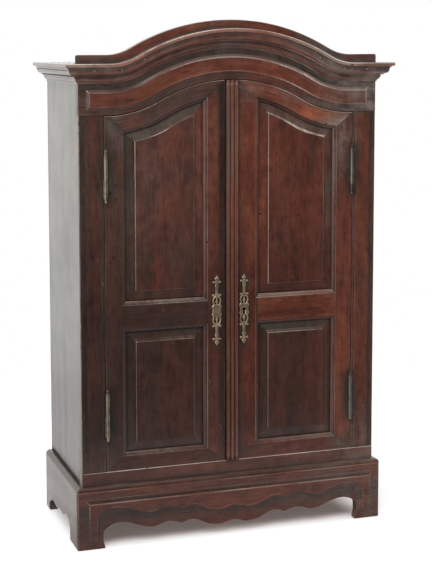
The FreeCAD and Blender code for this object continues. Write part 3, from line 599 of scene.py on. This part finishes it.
def recessOf(point, normal):
    # Share of low rays that meet something close by: high beside a step, none on a proud face.
    across = normal.orthogonal().normalized()
    other = normal.cross(across)
    start = point + normal * edgeRules["probe"]
    total = 0.0
    for k in range(recessScan["turns"]):
        angle = math.tau * k / recessScan["turns"]
        level = across * math.cos(angle) + other * math.sin(angle)
        ray = level * math.cos(recessScan["lift"]) + normal * math.sin(recessScan["lift"])
        distance = solids.ray_cast(start, ray, recessScan["reach"])[3]
        if distance is not None:
            total += 1.0 - recessScan["fall"] * distance / recessScan["reach"]
    return total / recessScan["turns"]


arch = {"crown": 0.200, "hollow": 0.1408, "shoulder": 0.171, "middle": 0.421, "spring": 0.575}


def archRise(x):
    # Height of the arched line above its ends.
    x = abs(x)
    if x >= arch["shoulder"]:
        return 0.0
    turn = arch["shoulder"] * arch["crown"] / (arch["crown"] + arch["hollow"])
    if x <= turn:
        return arch["middle"] + math.sqrt(arch["crown"] ** 2 - x ** 2) - arch["spring"]
    return arch["hollow"] - math.sqrt(arch["hollow"] ** 2 - (arch["shoulder"] - x) ** 2)


# What wears besides the edges: lip, faces in front of a depth; upward, faces that look up, pale as a painted highlight
# on the panels and the frieze; shoulder, the slope round a panel's field;
# sticking, the moulded rim of a door frame; strip, both ends; rim, the top edge of a field, worn, and a painted
# highlight on the right upper panel; bands, between two planes;
# dull, faces along an axis above a height. Below zero it is a dark groove: grime, and painted shadow lines in the
# hollows.
def wornMesh(node, width, fineWidth=0.0003, clamp=False, lip=None, grid=None, hollow=1.0, upward=None,
             strip=None, seams=False, shoulder=None, sticking=None, bands=(), rim=None, dull=None):
    mesh = openNode(node)
    wear = mesh.faces.layers.float.new("edgeWear")
    recess = mesh.verts.layers.float.new("recess")
    for face in mesh.faces:
        middle, facing = face.calc_center_median(), face.normal
        bends = [edge.calc_face_angle(0.0) for edge in face.edges if len(edge.link_faces) == 2]
        face.smooth = any(0.01 < bend < edgeRules["sharp"] for bend in bends)
        if lip and middle.y < lip["front"] and facing.y < -0.5:
            face[wear] = lip["level"]
        if upward and upward["from"] < facing.z < upward["to"] and facing.y < -0.2 and middle.z < upward["below"]:
            face[wear] = upward["level"]
        if shoulder and -0.4 < facing.y < -0.15:
            face[wear] = shoulder
        if sticking and sticking["front"] < middle.y < sticking["back"] and facing.y < -0.3:
            face[wear] = sticking["level"] * (0.3 + 0.7 * within(6.0 * facing.z))
    roundOver(mesh, node, width, 2, wear, 0.0 if seams else 1.0, clamp, seams)
    roundOver(mesh, node, fineWidth, 1, wear, edgeRules["fineWear"], clamp, False)
    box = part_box(node)
    for vert in mesh.verts:
        vert.co = [within(*part) for part in zip(vert.co, *box)]
    if strip:
        reach = max(v.co.x for v in mesh.verts) - strip
        for side in (-1.0, 1.0):
            cutAt(mesh, "x", side * reach)
        for face in mesh.faces:
            if abs(face.calc_center_median().x) > reach:
                face[wear] = edgeRules["stripWear"]
    if rim:
        cutAt(mesh, "y", rim["depth"])
        for face in mesh.faces:
            if face.calc_center_median().y < rim["depth"] and -0.995 < face.normal.y < -0.9 and face.normal.z > 0.1:
                face[wear] = rim["level"]
    for axis, start, end, level in bands:
        cutAt(mesh, axis, start)
        cutAt(mesh, axis, end)
        for face in mesh.faces:
            if start < axes[axis].dot(face.calc_center_median()) < end and face.normal.y < 0.1:
                face[wear] = level
    if grid:
        cutGrid(mesh, grid)
        for face in mesh.faces if dull else ():
            along = abs(axes[dull["axis"]].dot(face.normal))
            if face.calc_center_median().z > dull["above"] and along > dull["facing"]:
                face[wear] = dull["level"]
        mesh.normal_update()
        # Painted shade and grime in recesses, from how hidden each point is.
        for vert in mesh.verts:
            vert[recess] = hollow * recessOf(vert.co, vert.normal)
    for edge in mesh.edges:
        if len(edge.link_faces) == 2 and edge.calc_face_angle(0.0) > edgeRules["crease"]:
            edge.smooth = False
    return closeNode(mesh, node + ".worn")


def setValues(mesh, name, values, domain="FACE"):
    kind, field = ("FLOAT_VECTOR", "vector") if name in ("board", "habit") else ("FLOAT", "value")
    mesh.attributes.new(name, kind, domain).data.foreach_set(field, values)


def addPiece(name, mesh, material, node=None):
    mesh.materials.clear()
    mesh.materials.append(material)
    piece = bpy.data.objects.new(name, mesh)
    scene.collection.objects.link(piece)
    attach(piece, bodyOf[node] if node else "cabinet")
    if node:
        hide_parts(node)


def seedOf(node):
    return random.Random(node).random() * seedStep["spread"]


# Places rubbed or dulled by use, and painted glints: x, z, half width, half height, then more warmth, soot, dust and
# edge wear; the edge wear also raises or lowers the painted glint.
marks = [
    (-0.068, 0.44, 0.014, 0.1, 0.1, -0.05, 0.0, 0.0),
    (-0.115, 0.49, 0.024, 0.07, -0.05, 0.25, 0.1, 0.0),
    (0.005, 0.53, 0.014, 0.06, 0.08, -0.05, 0.0, 0.0),
    (0.028, 0.603, 0.022, 0.012, -0.1, 0.2, 0.5, 0.0),
    (0.115, 0.574, 0.035, 0.009, 0.3, -0.3, -0.3, 0.0),
    (0.162, 0.19, 0.012, 0.035, 0.12, -0.1, 0.0, 0.0),
    (0.19, 0.125, 0.016, 0.03, -0.1, 0.1, 0.3, 0.0),
    (0.045, 0.46, 0.009, 0.07, 0.18, -0.2, 0.0, 0.0),
    (0.07, 0.54, 0.028, 0.028, 0.12, -0.1, 0.0, 0.0),
    (0.075, 0.24, 0.016, 0.06, -0.08, 0.15, 0.0, 0.0),
    (-0.13, 0.563, 0.02, 0.01, 0.16, -0.2, 0.0, 0.0),
    (-0.163, 0.562, 0.014, 0.03, -0.1, 0.1, 0.35, 0.0),
    (0.163, 0.545, 0.016, 0.04, -0.15, 0.1, 0.8, 0.0),
    (0.165, 0.112, 0.016, 0.02, -0.15, 0.2, 0.2, 0.0),
    (-0.045, 0.45, 0.007, 0.12, -0.05, 0.0, 0.3, 0.0),
    (0.142, 0.45, 0.008, 0.11, -0.05, 0.0, 0.35, 0.0),
    # Painted glints along the right slope of the arch: frieze, cornice lip and panel top.
    (0.098, 0.618, 0.022, 0.024, 0.0, 0.0, 0.0, 5.0),
    (0.105, 0.665, 0.035, 0.025, 0.0, 0.0, 0.0, 0.6),
    (0.105, 0.552, 0.03, 0.02, 0.0, 0.0, 0.0, 0.6),
    # Less wear and painted glint on the left slope.
    (-0.15, 0.64, 0.07, 0.03, 0.0, 0.0, 0.0, -0.6),
    (-0.115, 0.608, 0.06, 0.02, 0.0, 0.0, 0.0, -0.5),
    (-0.075, 0.596, 0.035, 0.013, -0.12, 0.25, 0.0, 0.0),
    (-0.203, 0.028, 0.022, 0.026, 0.0, 0.15, 0.0, -0.75),
    (0.0, 0.688, 0.1, 0.008, 0.2, -0.1, 0.0, -0.5),
    (0.203, 0.028, 0.022, 0.026, 0.0, 0.1, 0.15, -0.65),
]


def marked(x, z):
    sums = [0.0, 0.0, 0.0, 0.0]
    for midX, midZ, wide, high, *amounts in marks:
        near = math.exp(-((x - midX) / wide) ** 2 - ((z - midZ) / high) ** 2)
        sums = [total + near * amount for total, amount in zip(sums, amounts)]
    return sums


gridSteps = {"x": (0.008, 0.0, 0.004), "y": (0.0, 0.012, 0.006), "z": (0.004, 0.0, 0.012)}

# Where the tones of a board change, the painted sheen and shade among them: from this distance off the middle, or
# depth, and over what length.
ageAndLight = {
    "front": 0.3,
    "steep": 4.0,
    "half": 0.2,
    "ends": (0.08, 0.12),
    "ground": (0.05, 0.10),
    "dustAndSheen": (0.08, 0.09),
    "sheen": (-0.0788, 0.0028),
    "sheenLeast": 0.35,
    "doorFace": -0.0842,
    "shaftShade": 0.1,
    "stillWear": 0.25,
    "underWear": 0.6,
    "leanWarmth": 0.4,
    "insideWarmth": 0.12,
}


# Tones: slope, painted light that brightens a board towards the right; lean, painted shade and less warmth on slopes
# that look right and the opposite on slopes that look left, the sides swapped below zero;
# dusty and ends, soot on slopes that look up and at the ends; crest, wear of slopes that look up, which also brings
# out the painted glint there; under, painted shade on slopes that look down; ground, darker behind a depth;
# quiet and lowWear, less wear; the film of dust, all over, at the left end and at the right; sheen, a painted sheen on
# slopes that look up; shaft, painted shade in a bore.
def stainedPiece(node, grain, warmth=0.0, shade=1.0, sooty=0.0, lean=0.0, pale=0.6, worn=0.85, edge=0.0008,
                 fine=0.0003, look=None, grid=None, arched=False, ground=None, quiet=None, slope=0.0, ends=0.0,
                 shaft=None, dusty=0.0, crest=0.5, dustAndSheen=(0.0, 0.0, 0.0), sheen=0.0, lowWear=None, under=1.0,
                 **wearing):
    mesh = wornMesh(node, edge, fine, grid=grid or gridSteps[grain], **wearing)
    boards, habits, dustAndSheenValues, seed = [], [], [], seedOf(node)
    for face in mesh.polygons:
        place, facing = face.center, face.normal
        off = abs(place.x)
        across, up = (within(ageAndLight["steep"] * part, -1.0) for part in (facing.x, facing.z))
        inside = facing.y > ageAndLight["front"]
        seen = facing.y < -ageAndLight["front"]
        warmer, sootier, dustier, wearAndGlint = marked(place.x, place.z) if seen else (0, 0, 0, 0)

        # Painted light brighter towards the right by slope, and painted shade on slopes that look down by under.
        tone = shade * (1.0 + slope * place.x / ageAndLight["half"])
        if facing.z < -0.12 and place.y > ageAndLight["doorFace"]:
            tone *= under
        # Painted shade in the keyhole's bore.
        if shaft and math.hypot(place.x - shaft["x"], place.z - shaft["z"]) < shaft["radius"]:
            tone = ageAndLight["shaftShade"]
        # Painted shade, and less warmth, on slopes to one side, by lean.
        warm = warmth + warmer - ageAndLight["leanWarmth"] * lean * across - ageAndLight["insideWarmth"] * inside
        boards += (seed, warm, tone)

        start, over = ageAndLight["ends"]
        own = sooty + sootier + lean * across + dusty * max(0.0, up) + ends * max(0.0, off - start) / over
        height = place.z - (archRise(place.x) if arched else 0.0)
        proud = ground and (place.y < ground["depth"] or height > ground["above"])
        if ground and not proud:
            start, over = ageAndLight["ground"]
            fade = ground.get("fade")
            cleaner = within((place.z - fade[0]) / fade[1]) if fade else 1.0
            own += ground["grimeAndShade"] * cleaner + ground["endSoot"] * within((off - start) / over)
        still = inside or quiet and quiet[0] < off < quiet[1]
        share = 1.0 + crest * max(0.0, up) - ageAndLight["underWear"] * max(0.0, -up)
        if still:
            share = ageAndLight["stillWear"]
        if lowWear and place.z < lowWear["below"]:
            share *= lowWear["share"]
        habits += (own, min(1.0, pale + 0.3 * wearAndGlint), worn * share * (1.0 + wearAndGlint))

        start, over = ageAndLight["dustAndSheen"]
        reach = within((off - start) / over) * (0.5 if proud else 1.0)
        # A painted sheen on slopes that look up, strongest next to the field.
        front, over = ageAndLight["sheen"]
        lit = sheen * max(0.0, up) * within((front - place.y) / over, ageAndLight["sheenLeast"])
        dustAndSheenValues.append(max(0.0, dustier + lit + dustAndSheen[0] + reach * dustAndSheen[2 if place.x > 0.0 else 1]))
    setValues(mesh, "board", boards)
    setValues(mesh, "habit", habits)
    setValues(mesh, "dustAndSheen", dustAndSheenValues)
    if arched:
        setValues(mesh, "sag", [archRise(v.co.x) for v in mesh.vertices], "POINT")
    addPiece(node + "_wood", mesh, stainedLooks[look or grain], node)


# Repeated shapes by Geometry Nodes

def newTree(name, inputs):
    tree = bpy.data.node_groups.new(name, "GeometryNodeTree")
    for label, kind in inputs.items():
        tree.interface.new_socket(label, in_out="INPUT", socket_type="NodeSocket" + kind)
    tree.interface.new_socket("Geometry", in_out="OUTPUT", socket_type="NodeSocketGeometry")
    sheet = NodeSheet(tree)
    given = tree.nodes.new("NodeGroupInput").outputs
    return tree, sheet, {label: Wire(sheet, given[label]) for label in inputs}


def closeTree(sheet, shape, finish):
    smooth = sheet.node("GeometryNodeSetShadeSmooth", {}, {"Geometry": shape})
    real = sheet.node("GeometryNodeRealizeInstances", {}, {"Geometry": smooth})
    done = sheet.node("GeometryNodeSetMaterial", {}, {"Geometry": real, "Material": finish})
    sheet.node("NodeGroupOutput", {}, {"Geometry": done})


def grow(tree, start, values):
    carrier = bpy.data.objects.new("carrier", start)
    scene.collection.objects.link(carrier)
    modifier = carrier.modifiers.new("grow", "NODES")
    modifier.node_group = tree
    for item in tree.interface.items_tree:
        if item.in_out == "INPUT" and item.name in values:
            modifier[item.identifier] = values[item.name]
    graph = bpy.context.evaluated_depsgraph_get()
    mesh = bpy.data.meshes.new_from_object(carrier.evaluated_get(graph), preserve_all_data_layers=True,
                                           depsgraph=graph)
    carrier.modifiers.clear()
    bpy.data.objects.remove(carrier)
    return mesh


headShape = {"segments": 12, "rings": 6}


def headTree():
    tree, sheet, given = newTree("heads", {
        "Geometry": "Geometry", "Radius": "Float", "Height": "Float", "Uneven": "Float", "Facing": "Vector",
        "Seed": "Int", "Finish": "Material"})
    ball = sheet.node("GeometryNodeMeshUVSphere", {}, {
        "Segments": headShape["segments"], "Rings": headShape["rings"], "Radius": 1.0})
    size = sheet.join(given["Radius"], given["Radius"], given["Height"])
    head = sheet.node("GeometryNodeTransform", {}, {"Geometry": ball, "Scale": size})
    turn = sheet.node("FunctionNodeAlignRotationToVector", {"axis": "Z"}, {"Vector": given["Facing"]})
    uneven = sheet.node("FunctionNodeRandomValue", {"data_type": "FLOAT"}, {
        2: 1.0 - given["Uneven"], 3: 1.0 + given["Uneven"], 8: given["Seed"]}, out=1)
    heads = sheet.node("GeometryNodeInstanceOnPoints", {}, {
        "Points": given["Geometry"], "Instance": head, "Rotation": turn, "Scale": uneven})
    closeTree(sheet, heads, given["Finish"])
    return tree


reedShape = {"across": 12, "rows": 60, "crest": 0.95, "grimeShade": 0.4}


def reedTree():
    # A bar whose front is a row of round reeds; crests are worn, and valleys are darker with grime and painted shade.
    tree, sheet, given = newTree("reeds", {
        "Geometry": "Geometry", "Width": "Float", "Length": "Float", "Proud": "Float", "Quirk": "Float",
        "Reeds": "Int", "Middle": "Vector", "Finish": "Material"})
    size = sheet.join(given["Width"], given["Quirk"], given["Length"])
    bar = sheet.node("GeometryNodeMeshCube", {}, {
        "Size": size, "Vertices X": given["Reeds"] * reedShape["across"] + 1, "Vertices Y": 2,
        "Vertices Z": reedShape["rows"]})
    x, y, z = sheet.split(sheet.node("GeometryNodeInputPosition"))
    along = (x / given["Width"] + 0.5) * given["Reeds"]
    part = sheet.work("FRACT", along) * 2.0 - 1.0
    bulge = sheet.work("SQRT", 1.0001 - part * part)
    front = sheet.node("FunctionNodeCompare", {"data_type": "FLOAT", "operation": "LESS_THAN"}, {0: y, 1: 0.0})
    rise = sheet.join(0.0, (given["Quirk"] - given["Proud"]) * bulge, 0.0)
    reeded = sheet.node("GeometryNodeSetPosition", {}, {"Geometry": bar, "Selection": front, "Offset": rise})
    worn, valleyGrimeShade = sheet.step(bulge, reedShape["crest"], 1.0), reedShape["grimeShade"] * (1.0 - bulge)
    for name, value in (("edgeWear", worn), ("recess", valleyGrimeShade)):
        reeded = sheet.node("GeometryNodeStoreNamedAttribute", {"data_type": "FLOAT", "domain": "POINT"}, {
            "Geometry": reeded, "Name": name, "Value": value})
    placed = sheet.node("GeometryNodeTransform", {}, {"Geometry": reeded, "Translation": given["Middle"]})
    closeTree(sheet, placed, given["Finish"])
    return tree


heads, reeds = headTree(), reedTree()


def pointMesh(name, spots):
    mesh = bpy.data.meshes.new(name)
    mesh.from_pydata(spots, [], [])
    return mesh


def frontSpots(node):
    # The middle of the front end of each loose part of a node.
    mesh = openNode(node, False)
    left, spots = set(mesh.verts), []
    while left:
        part, edge = set(), [min(left, key=lambda v: v.index)]
        while edge:
            vert = edge.pop()
            if vert not in part:
                part.add(vert)
                edge += [e.other_vert(vert) for e in vert.link_edges]
        left -= part
        front = min(v.co.y for v in part)
        face = [v.co for v in mesh.verts if v in part and v.co.y < front + edgeRules["weld"]]
        spots.append(sum(face, Vector()) / len(face))
    mesh.free()
    return sorted(spots, key=lambda spot: (round(spot.x, 5), spot.z))


def addHeads(name, spots, setup, node=None):
    look = metalLooks[setup["look"]]
    mesh = grow(heads, pointMesh(name, spots), {
        "Radius": setup["radius"], "Height": setup["height"], "Uneven": setup["uneven"], "Facing": setup["facing"],
        "Seed": setup["seed"], "Finish": look})
    addPiece(name, mesh, look, node)


# Carcass, base and cornice

sideGrid = (0.0, 0.016, 0.02)
stileQuiet = (0.17, 0.18)  # no wear beside the hinges
returnLines = (("z", 0.6330, 0.6341, -0.5), ("z", 0.6252, 0.6268, -0.6))  # painted shadow lines in the hollows
cornicePart = {"grain": "y", "warmth": 0.05, "shade": 1.4, "edge": 0.0006, "bands": returnLines}
carcassBoards = {
    "left_side": {
        "grain": "z", "warmth": -0.1, "shade": 0.85, "sooty": 0.3, "edge": 0.0012, "grid": sideGrid,
        "bands": (("z", 0.084, 0.0890, -0.7), ("z", 0.0890, 0.0925, -0.36), ("y", 0.0995, 0.1046, -0.4))},
    "right_side": {"grain": "z", "edge": 0.0012, "grid": sideGrid},
    "top_board": {"grain": "x", "warmth": -0.1, "grid": (0.02, 0.016, 0.0)},
    "left_front_stile": {"grain": "z", "shade": 0.85, "quiet": stileQuiet},
    "right_front_stile": {"grain": "z", "warmth": 0.14, "shade": 1.05, "quiet": stileQuiet},
    "bottom_rail": {
        "grain": "x", "warmth": 0.10, "sooty": -0.15, "slope": 0.22, "dustAndSheen": (0.0, 0.0, 0.35), "crest": 2.0,
        "pale": 0.8},
    "frieze_board": {
        "grain": "x", "warmth": 0.24, "sooty": -0.1, "shade": 1.05, "arched": True, "dustAndSheen": (0.05, 0.1, 1.1),
        "ground": {"depth": -0.0858, "grimeAndShade": 0.4, "above": 0.642, "endSoot": 0.45},
        # Pale on faces that look up: a painted highlight along the arch.
        "upward": {"from": 0.2, "to": 0.95, "level": 0.25, "below": 1.0},
        "dull": {"above": 0.6425, "axis": "x", "facing": 0.6, "level": -0.7}},
    "cornice_front": {
        "grain": "x", "warmth": 0.12, "shade": 1.65, "edge": 0.0013, "worn": 2.0, "pale": 0.7, "arched": True,
        "ends": 0.25, "dustAndSheen": (0.1, 0.4, 0.6), "lip": {"front": -0.1038, "level": 0.28},
        "dull": {"above": 0.6410, "axis": "z", "facing": 0.8485, "level": -0.35}},
    "cornice_left_return": cornicePart,
    "cornice_right_return": cornicePart,
    "base_front_apron": {
        "grain": "x", "warmth": 0.10, "shade": 0.86, "pale": 0.4, "edge": 0.0009, "slope": 0.18, "worn": 0.75,
        "hollow": 2.2, "strip": 0.0012, "dustAndSheen": (0.0, 0.0, 0.3), "lowWear": {"below": 0.032, "share": 0.45},
        "ground": {"depth": -0.0945, "grimeAndShade": 0.6, "above": 0.060, "endSoot": 0.0, "fade": (0.024, 0.018)},
        "upward": {"from": 0.3, "to": 0.9, "level": -0.08, "below": 0.07},
        "bands": (("z", 0.0834, 0.0845, 0.35), ("z", 0.0797, 0.0807, -0.35), ("z", 0.0774, 0.0785, 0.9),
                  ("z", 0.0675, 0.0684, 0.6))},
    "base_left_bracket": {
        "grain": "y", "warmth": -0.15, "shade": 1.7, "sooty": 0.4, "edge": 0.0010,
        "bands": (("z", 0.0788, 0.0835, -0.38),)},
    "base_right_bracket": {"grain": "y", "warmth": 0.05, "edge": 0.0010},
}
for node, board in carcassBoards.items():
    stainedPiece(node, **board)
print("carcass dressed")


# Doors

stickingWear = {"front": -0.0839, "back": -0.0818, "level": 0.26}
doorBoards = {
    "hinge_stile": {"grain": "z", "quiet": stileQuiet, "sticking": stickingWear},
    "lock_stile": {"grain": "z", "hollow": 0.7, "sticking": stickingWear},
    "top_rail": {"grain": "x", "arched": True, "sticking": stickingWear},
    "middle_rail": {"grain": "x", "crest": 1.4, "pale": 0.8, "sticking": stickingWear, "under": 0.55},
    "bottom_rail": {"grain": "x", "crest": 0.8, "pale": 0.5, "sticking": stickingWear},
    "upper_panel": {
        "grain": "z", "edge": 0.0011, "fine": 0.0006, "hollow": 0.5, "worn": 1.0, "dusty": 0.7, "crest": 0.9,
        "shoulder": 0.5, "grid": (0.004, 0.0, 0.004),
        "upward": {"from": 0.05, "to": 0.9, "level": 0.08, "below": 1.0}},
    "lower_panel": {
        "grain": "z", "edge": 0.0011, "fine": 0.0006, "hollow": 0.65, "worn": 0.55, "dusty": 0.3, "crest": 0.7,
        "shoulder": 0.35, "rim": {"depth": -0.0812, "level": 0.3},
        "upward": {"from": 0.05, "to": 0.9, "level": 0.10, "below": 1.0}},
}
doorTones = {
    "left": {
        "hinge_stile": {"warmth": -0.05, "sooty": 0.20},
        # This stile takes the look with the painted shadow of the astragal.
        "lock_stile": {"warmth": 0.15, "sooty": -0.05, "look": "band", "worn": 0.55, "dustAndSheen": (0.08, 0.0, 0.0)},
        "top_rail": {"warmth": 0.05, "sooty": 0.4, "shade": 1.12, "under": 0.8},
        "middle_rail": {"warmth": -0.10, "sooty": 0.15, "shade": 0.95},
        "bottom_rail": {"warmth": 0.06, "sooty": -0.05, "shade": 0.70},
        "upper_panel": {"sooty": -0.25, "lean": -0.65, "rim": {"depth": -0.0814, "level": 0.12}},
        "lower_panel": {"warmth": -0.08, "sooty": -0.05, "lean": -0.2, "shade": 0.9},
    },
    "right": {
        "hinge_stile": {"warmth": 0.18, "shade": 1.1},
        "lock_stile": {"warmth": 0.22, "sooty": -0.1, "shaft": {"x": 0.0175, "z": 0.3075, "radius": 0.006}},
        "top_rail": {"warmth": 0.26, "sooty": 0.05, "shade": 1.32, "dustAndSheen": (0.1, 0.0, 0.3), "under": 0.4},
        "middle_rail": {"warmth": 0.34, "sooty": -0.2, "shade": 1.15},
        "bottom_rail": {"warmth": 0.15, "sooty": -0.05},
        # A painted highlight along the top of this field, by its sheen and rim.
        "upper_panel": {"warmth": 0.1, "sooty": -0.25, "lean": 0.15, "shade": 0.88, "sheen": 1.0, "pale": 0.9,
                        "rim": {"depth": -0.0814, "level": 1.0}},
        "lower_panel": {"warmth": 0.02, "sooty": -0.05, "shade": 0.95},
    },
}
for side, tones in doorTones.items():
    for part, board in doorBoards.items():
        stainedPiece(side + "_" + part, **board, **tones[part])

astragal = {"reeds": 3, "quirk": 0.0022, "warmth": 0.2, "shade": 0.95, "sooty": -0.05, "pale": 0.1, "worn": 0.65}


def addAstragal(setup):
    low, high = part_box("right_astragal")
    back = Vector(((low.x + high.x) / 2, high.y - setup["quirk"] / 2, (low.z + high.z) / 2))
    mesh = grow(reeds, pointMesh("astragal", []), {
        "Width": high.x - low.x, "Length": high.z - low.z, "Proud": high.y - low.y, "Quirk": setup["quirk"],
        "Reeds": setup["reeds"], "Middle": back, "Finish": stainedLooks["z"]})
    boards, habits = [], []
    for face in mesh.polygons:
        warmer, sootier = marked(face.center.x, face.center.z)[:2]
        boards += (seedOf("astragal"), setup["warmth"] + warmer, setup["shade"])
        habits += (setup["sooty"] + sootier, setup["pale"], setup["worn"])
    setValues(mesh, "board", boards)
    setValues(mesh, "habit", habits)
    addPiece("right_astragal_wood", mesh, stainedLooks["z"], "right_astragal")


addAstragal(astragal)
print("doors dressed")


# Inside and back

backFace = 0.1040  # the boards lie a little inside the box, so that the nail heads fit in it
inside = {
    "edge": 0.0008,
    "tones": (0.75, 1.15),
    "shade": {"door_stops": 0.5},
    "grain": {
        "bottom_board": "x", "lower_shelf": "x", "upper_shelf": "x", "shelf_cleats": "y", "base_corner_blocks": "z",
        "base_back_rail": "x", "door_stops": "x", "back_board_1": "z", "back_board_2": "z", "back_board_3": "z",
    },
}
for node, grain in inside["grain"].items():
    atBack = node.startswith("back_board")
    mesh = wornMesh(node, inside["edge"], seams=atBack)
    tone = random.Random(node + "tone").uniform(*inside["tones"]) * inside["shade"].get(node, 1.0)
    setValues(mesh, "board", (seedOf(node), 0.0, tone) * len(mesh.polygons))
    if atBack:
        for vert in mesh.vertices:
            vert.co.y = min(vert.co.y, backFace)
    addPiece(node + "_wood", mesh, innerLooks[grain], node)
print("inside dressed")


# Fittings

castPlate = {
    "grid": 0.0007,
    "rimStep": 0.0002,
    "slope": 0.0014,
    "drop": 0.0008,
    "wear": 0.9,
    "smooth": math.radians(50.0),
    "keyHalf": 0.00205,
    "keyBelow": 0.0071,
    "keyWide": 1.35,
    "keyBackWide": 1.5,
    "flat": 1e-5,
}


def addPlate(node, setup, keyhole):
    # A cast plate: its front falls away towards every edge.
    mesh = openNode(node)
    low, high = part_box(node)
    middle, front = (low + high) / 2, low.y + setup["flat"]
    rim = []
    for edge in mesh.edges:
        ends = [v.co for v in edge.verts]
        if all(end.y < front for end in ends) and any(face.normal.y > -0.9 for face in edge.link_faces):
            count = max(2, int(edge.calc_length() / setup["rimStep"]))
            rim += [ends[0].lerp(ends[1], k / count) for k in range(count + 1)]
    near = KDTree(len(rim))
    for k, point in enumerate(rim):
        near.insert(point, k)
    near.balance()
    cutGrid(mesh, (setup["grid"], 0.0, setup["grid"]))
    wear = mesh.verts.layers.float.new("edgeWear")
    for vert in mesh.verts:
        if vert.co.y < front:
            share = min(1.0, near.find(vert.co)[2] / setup["slope"])
            vert[wear] = setup["wear"] * (1.0 - share)
            vert.co.y += setup["drop"] * (1.0 - math.sqrt(1.0 - (1.0 - share) ** 2))
    if keyhole:
        for vert in mesh.verts:
            across, up = vert.co.x - middle.x, vert.co.z - middle.z
            if abs(across) < setup["keyHalf"] and -setup["keyBelow"] < up < setup["keyHalf"]:
                behind = setup["keyBackWide"] if vert.co.y > high.y - setup["flat"] else 1.0
                vert.co.x = middle.x + across * setup["keyWide"] * behind
    mesh.normal_update()
    for face in mesh.faces:
        face.smooth = True
    for edge in mesh.edges:
        edge.smooth = edge.calc_face_angle(0.0) < setup["smooth"]
    addPiece(node + "_metal", closeNode(mesh, node), metalLooks["aged_brass"], node)


addPlate("left_escutcheon", castPlate, False)
addPlate("right_escutcheon", castPlate, True)

pinHeads = {"radius": 0.0011, "height": 0.0006, "uneven": 0.06, "facing": (0.0, -1.0, 0.0), "seed": 3,
            "look": "aged_brass"}
bradHeads = {"radius": 0.0012, "height": 0.0004, "uneven": 0.15, "facing": (0.0, -0.8, -0.6), "seed": 5,
             "look": "pale_brad"}
for side in ("left", "right"):
    pins = side + "_escutcheon_pins"
    addHeads(side + "_escutcheon_pin_heads", frontSpots(pins), pinHeads, pins)
addHeads("cornice_brad_heads", frontSpots("cornice_brads"), bradHeads, "cornice_brads")

nails = {
    "radius": 0.0021,
    "height": 0.0004,
    "uneven": 0.12,
    "look": "dark_iron",
    "backRows": (0.101, 0.276, 0.451),
    "perBoard": 3,
    "topAlong": 5,
    "topAcross": 7,
    "fromEdge": 0.004,
    "fromFront": 0.02,
    "fromBack": 0.03,
    "fromCorner": 0.03,
}


def addNails(setup):
    backs, tops = [], []
    for k in (1, 2, 3):
        low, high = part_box("back_board_%d" % k)
        for row in setup["backRows"]:
            for j in range(setup["perBoard"]):
                backs.append((low.x + (high.x - low.x) * (j + 0.5) / setup["perBoard"], backFace, row))
    low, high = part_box("top_board")
    deep = high.y - low.y - setup["fromFront"] - setup["fromBack"]
    wide = high.x - low.x - 2 * setup["fromCorner"]
    for k in range(setup["topAlong"]):
        y = low.y + setup["fromFront"] + deep * k / (setup["topAlong"] - 1)
        tops += [(x, y, high.z) for x in (low.x + setup["fromEdge"], high.x - setup["fromEdge"])]
    for k in range(setup["topAcross"]):
        x = low.x + setup["fromCorner"] + wide * k / (setup["topAcross"] - 1)
        tops.append((x, high.y - setup["fromEdge"], high.z))
    addHeads("back_nails", backs, {**setup, "facing": (0.0, 1.0, 0.0), "seed": 11})
    addHeads("top_nails", tops, {**setup, "facing": (0.0, 0.0, 1.0), "seed": 12})


addNails(nails)
print("plates, pins, brads and nails made")

ironEdge = {"width": 0.0003, "fine": 0.00015}
hingeLooks = {"left": "hinge_steel", "right": "hinge_dark"}
fittings = {"_".join((side, level, "hinge", leaf, "leaf")): look for side, look in hingeLooks.items()
            for level in ("lower", "upper") for leaf in ("frame", "door")}
for node in ("top_bolt", "bottom_bolt", "bolt_guides", "lock_case", "lock_cap", "lock_bolt", "lock_keeper",
             "top_bolt_keeper"):
    fittings[node] = "dark_iron"
for node, look in fittings.items():
    addPiece(node + "_metal", wornMesh(node, ironEdge["width"], ironEdge["fine"], True), metalLooks[look], node)
print("fittings dressed")
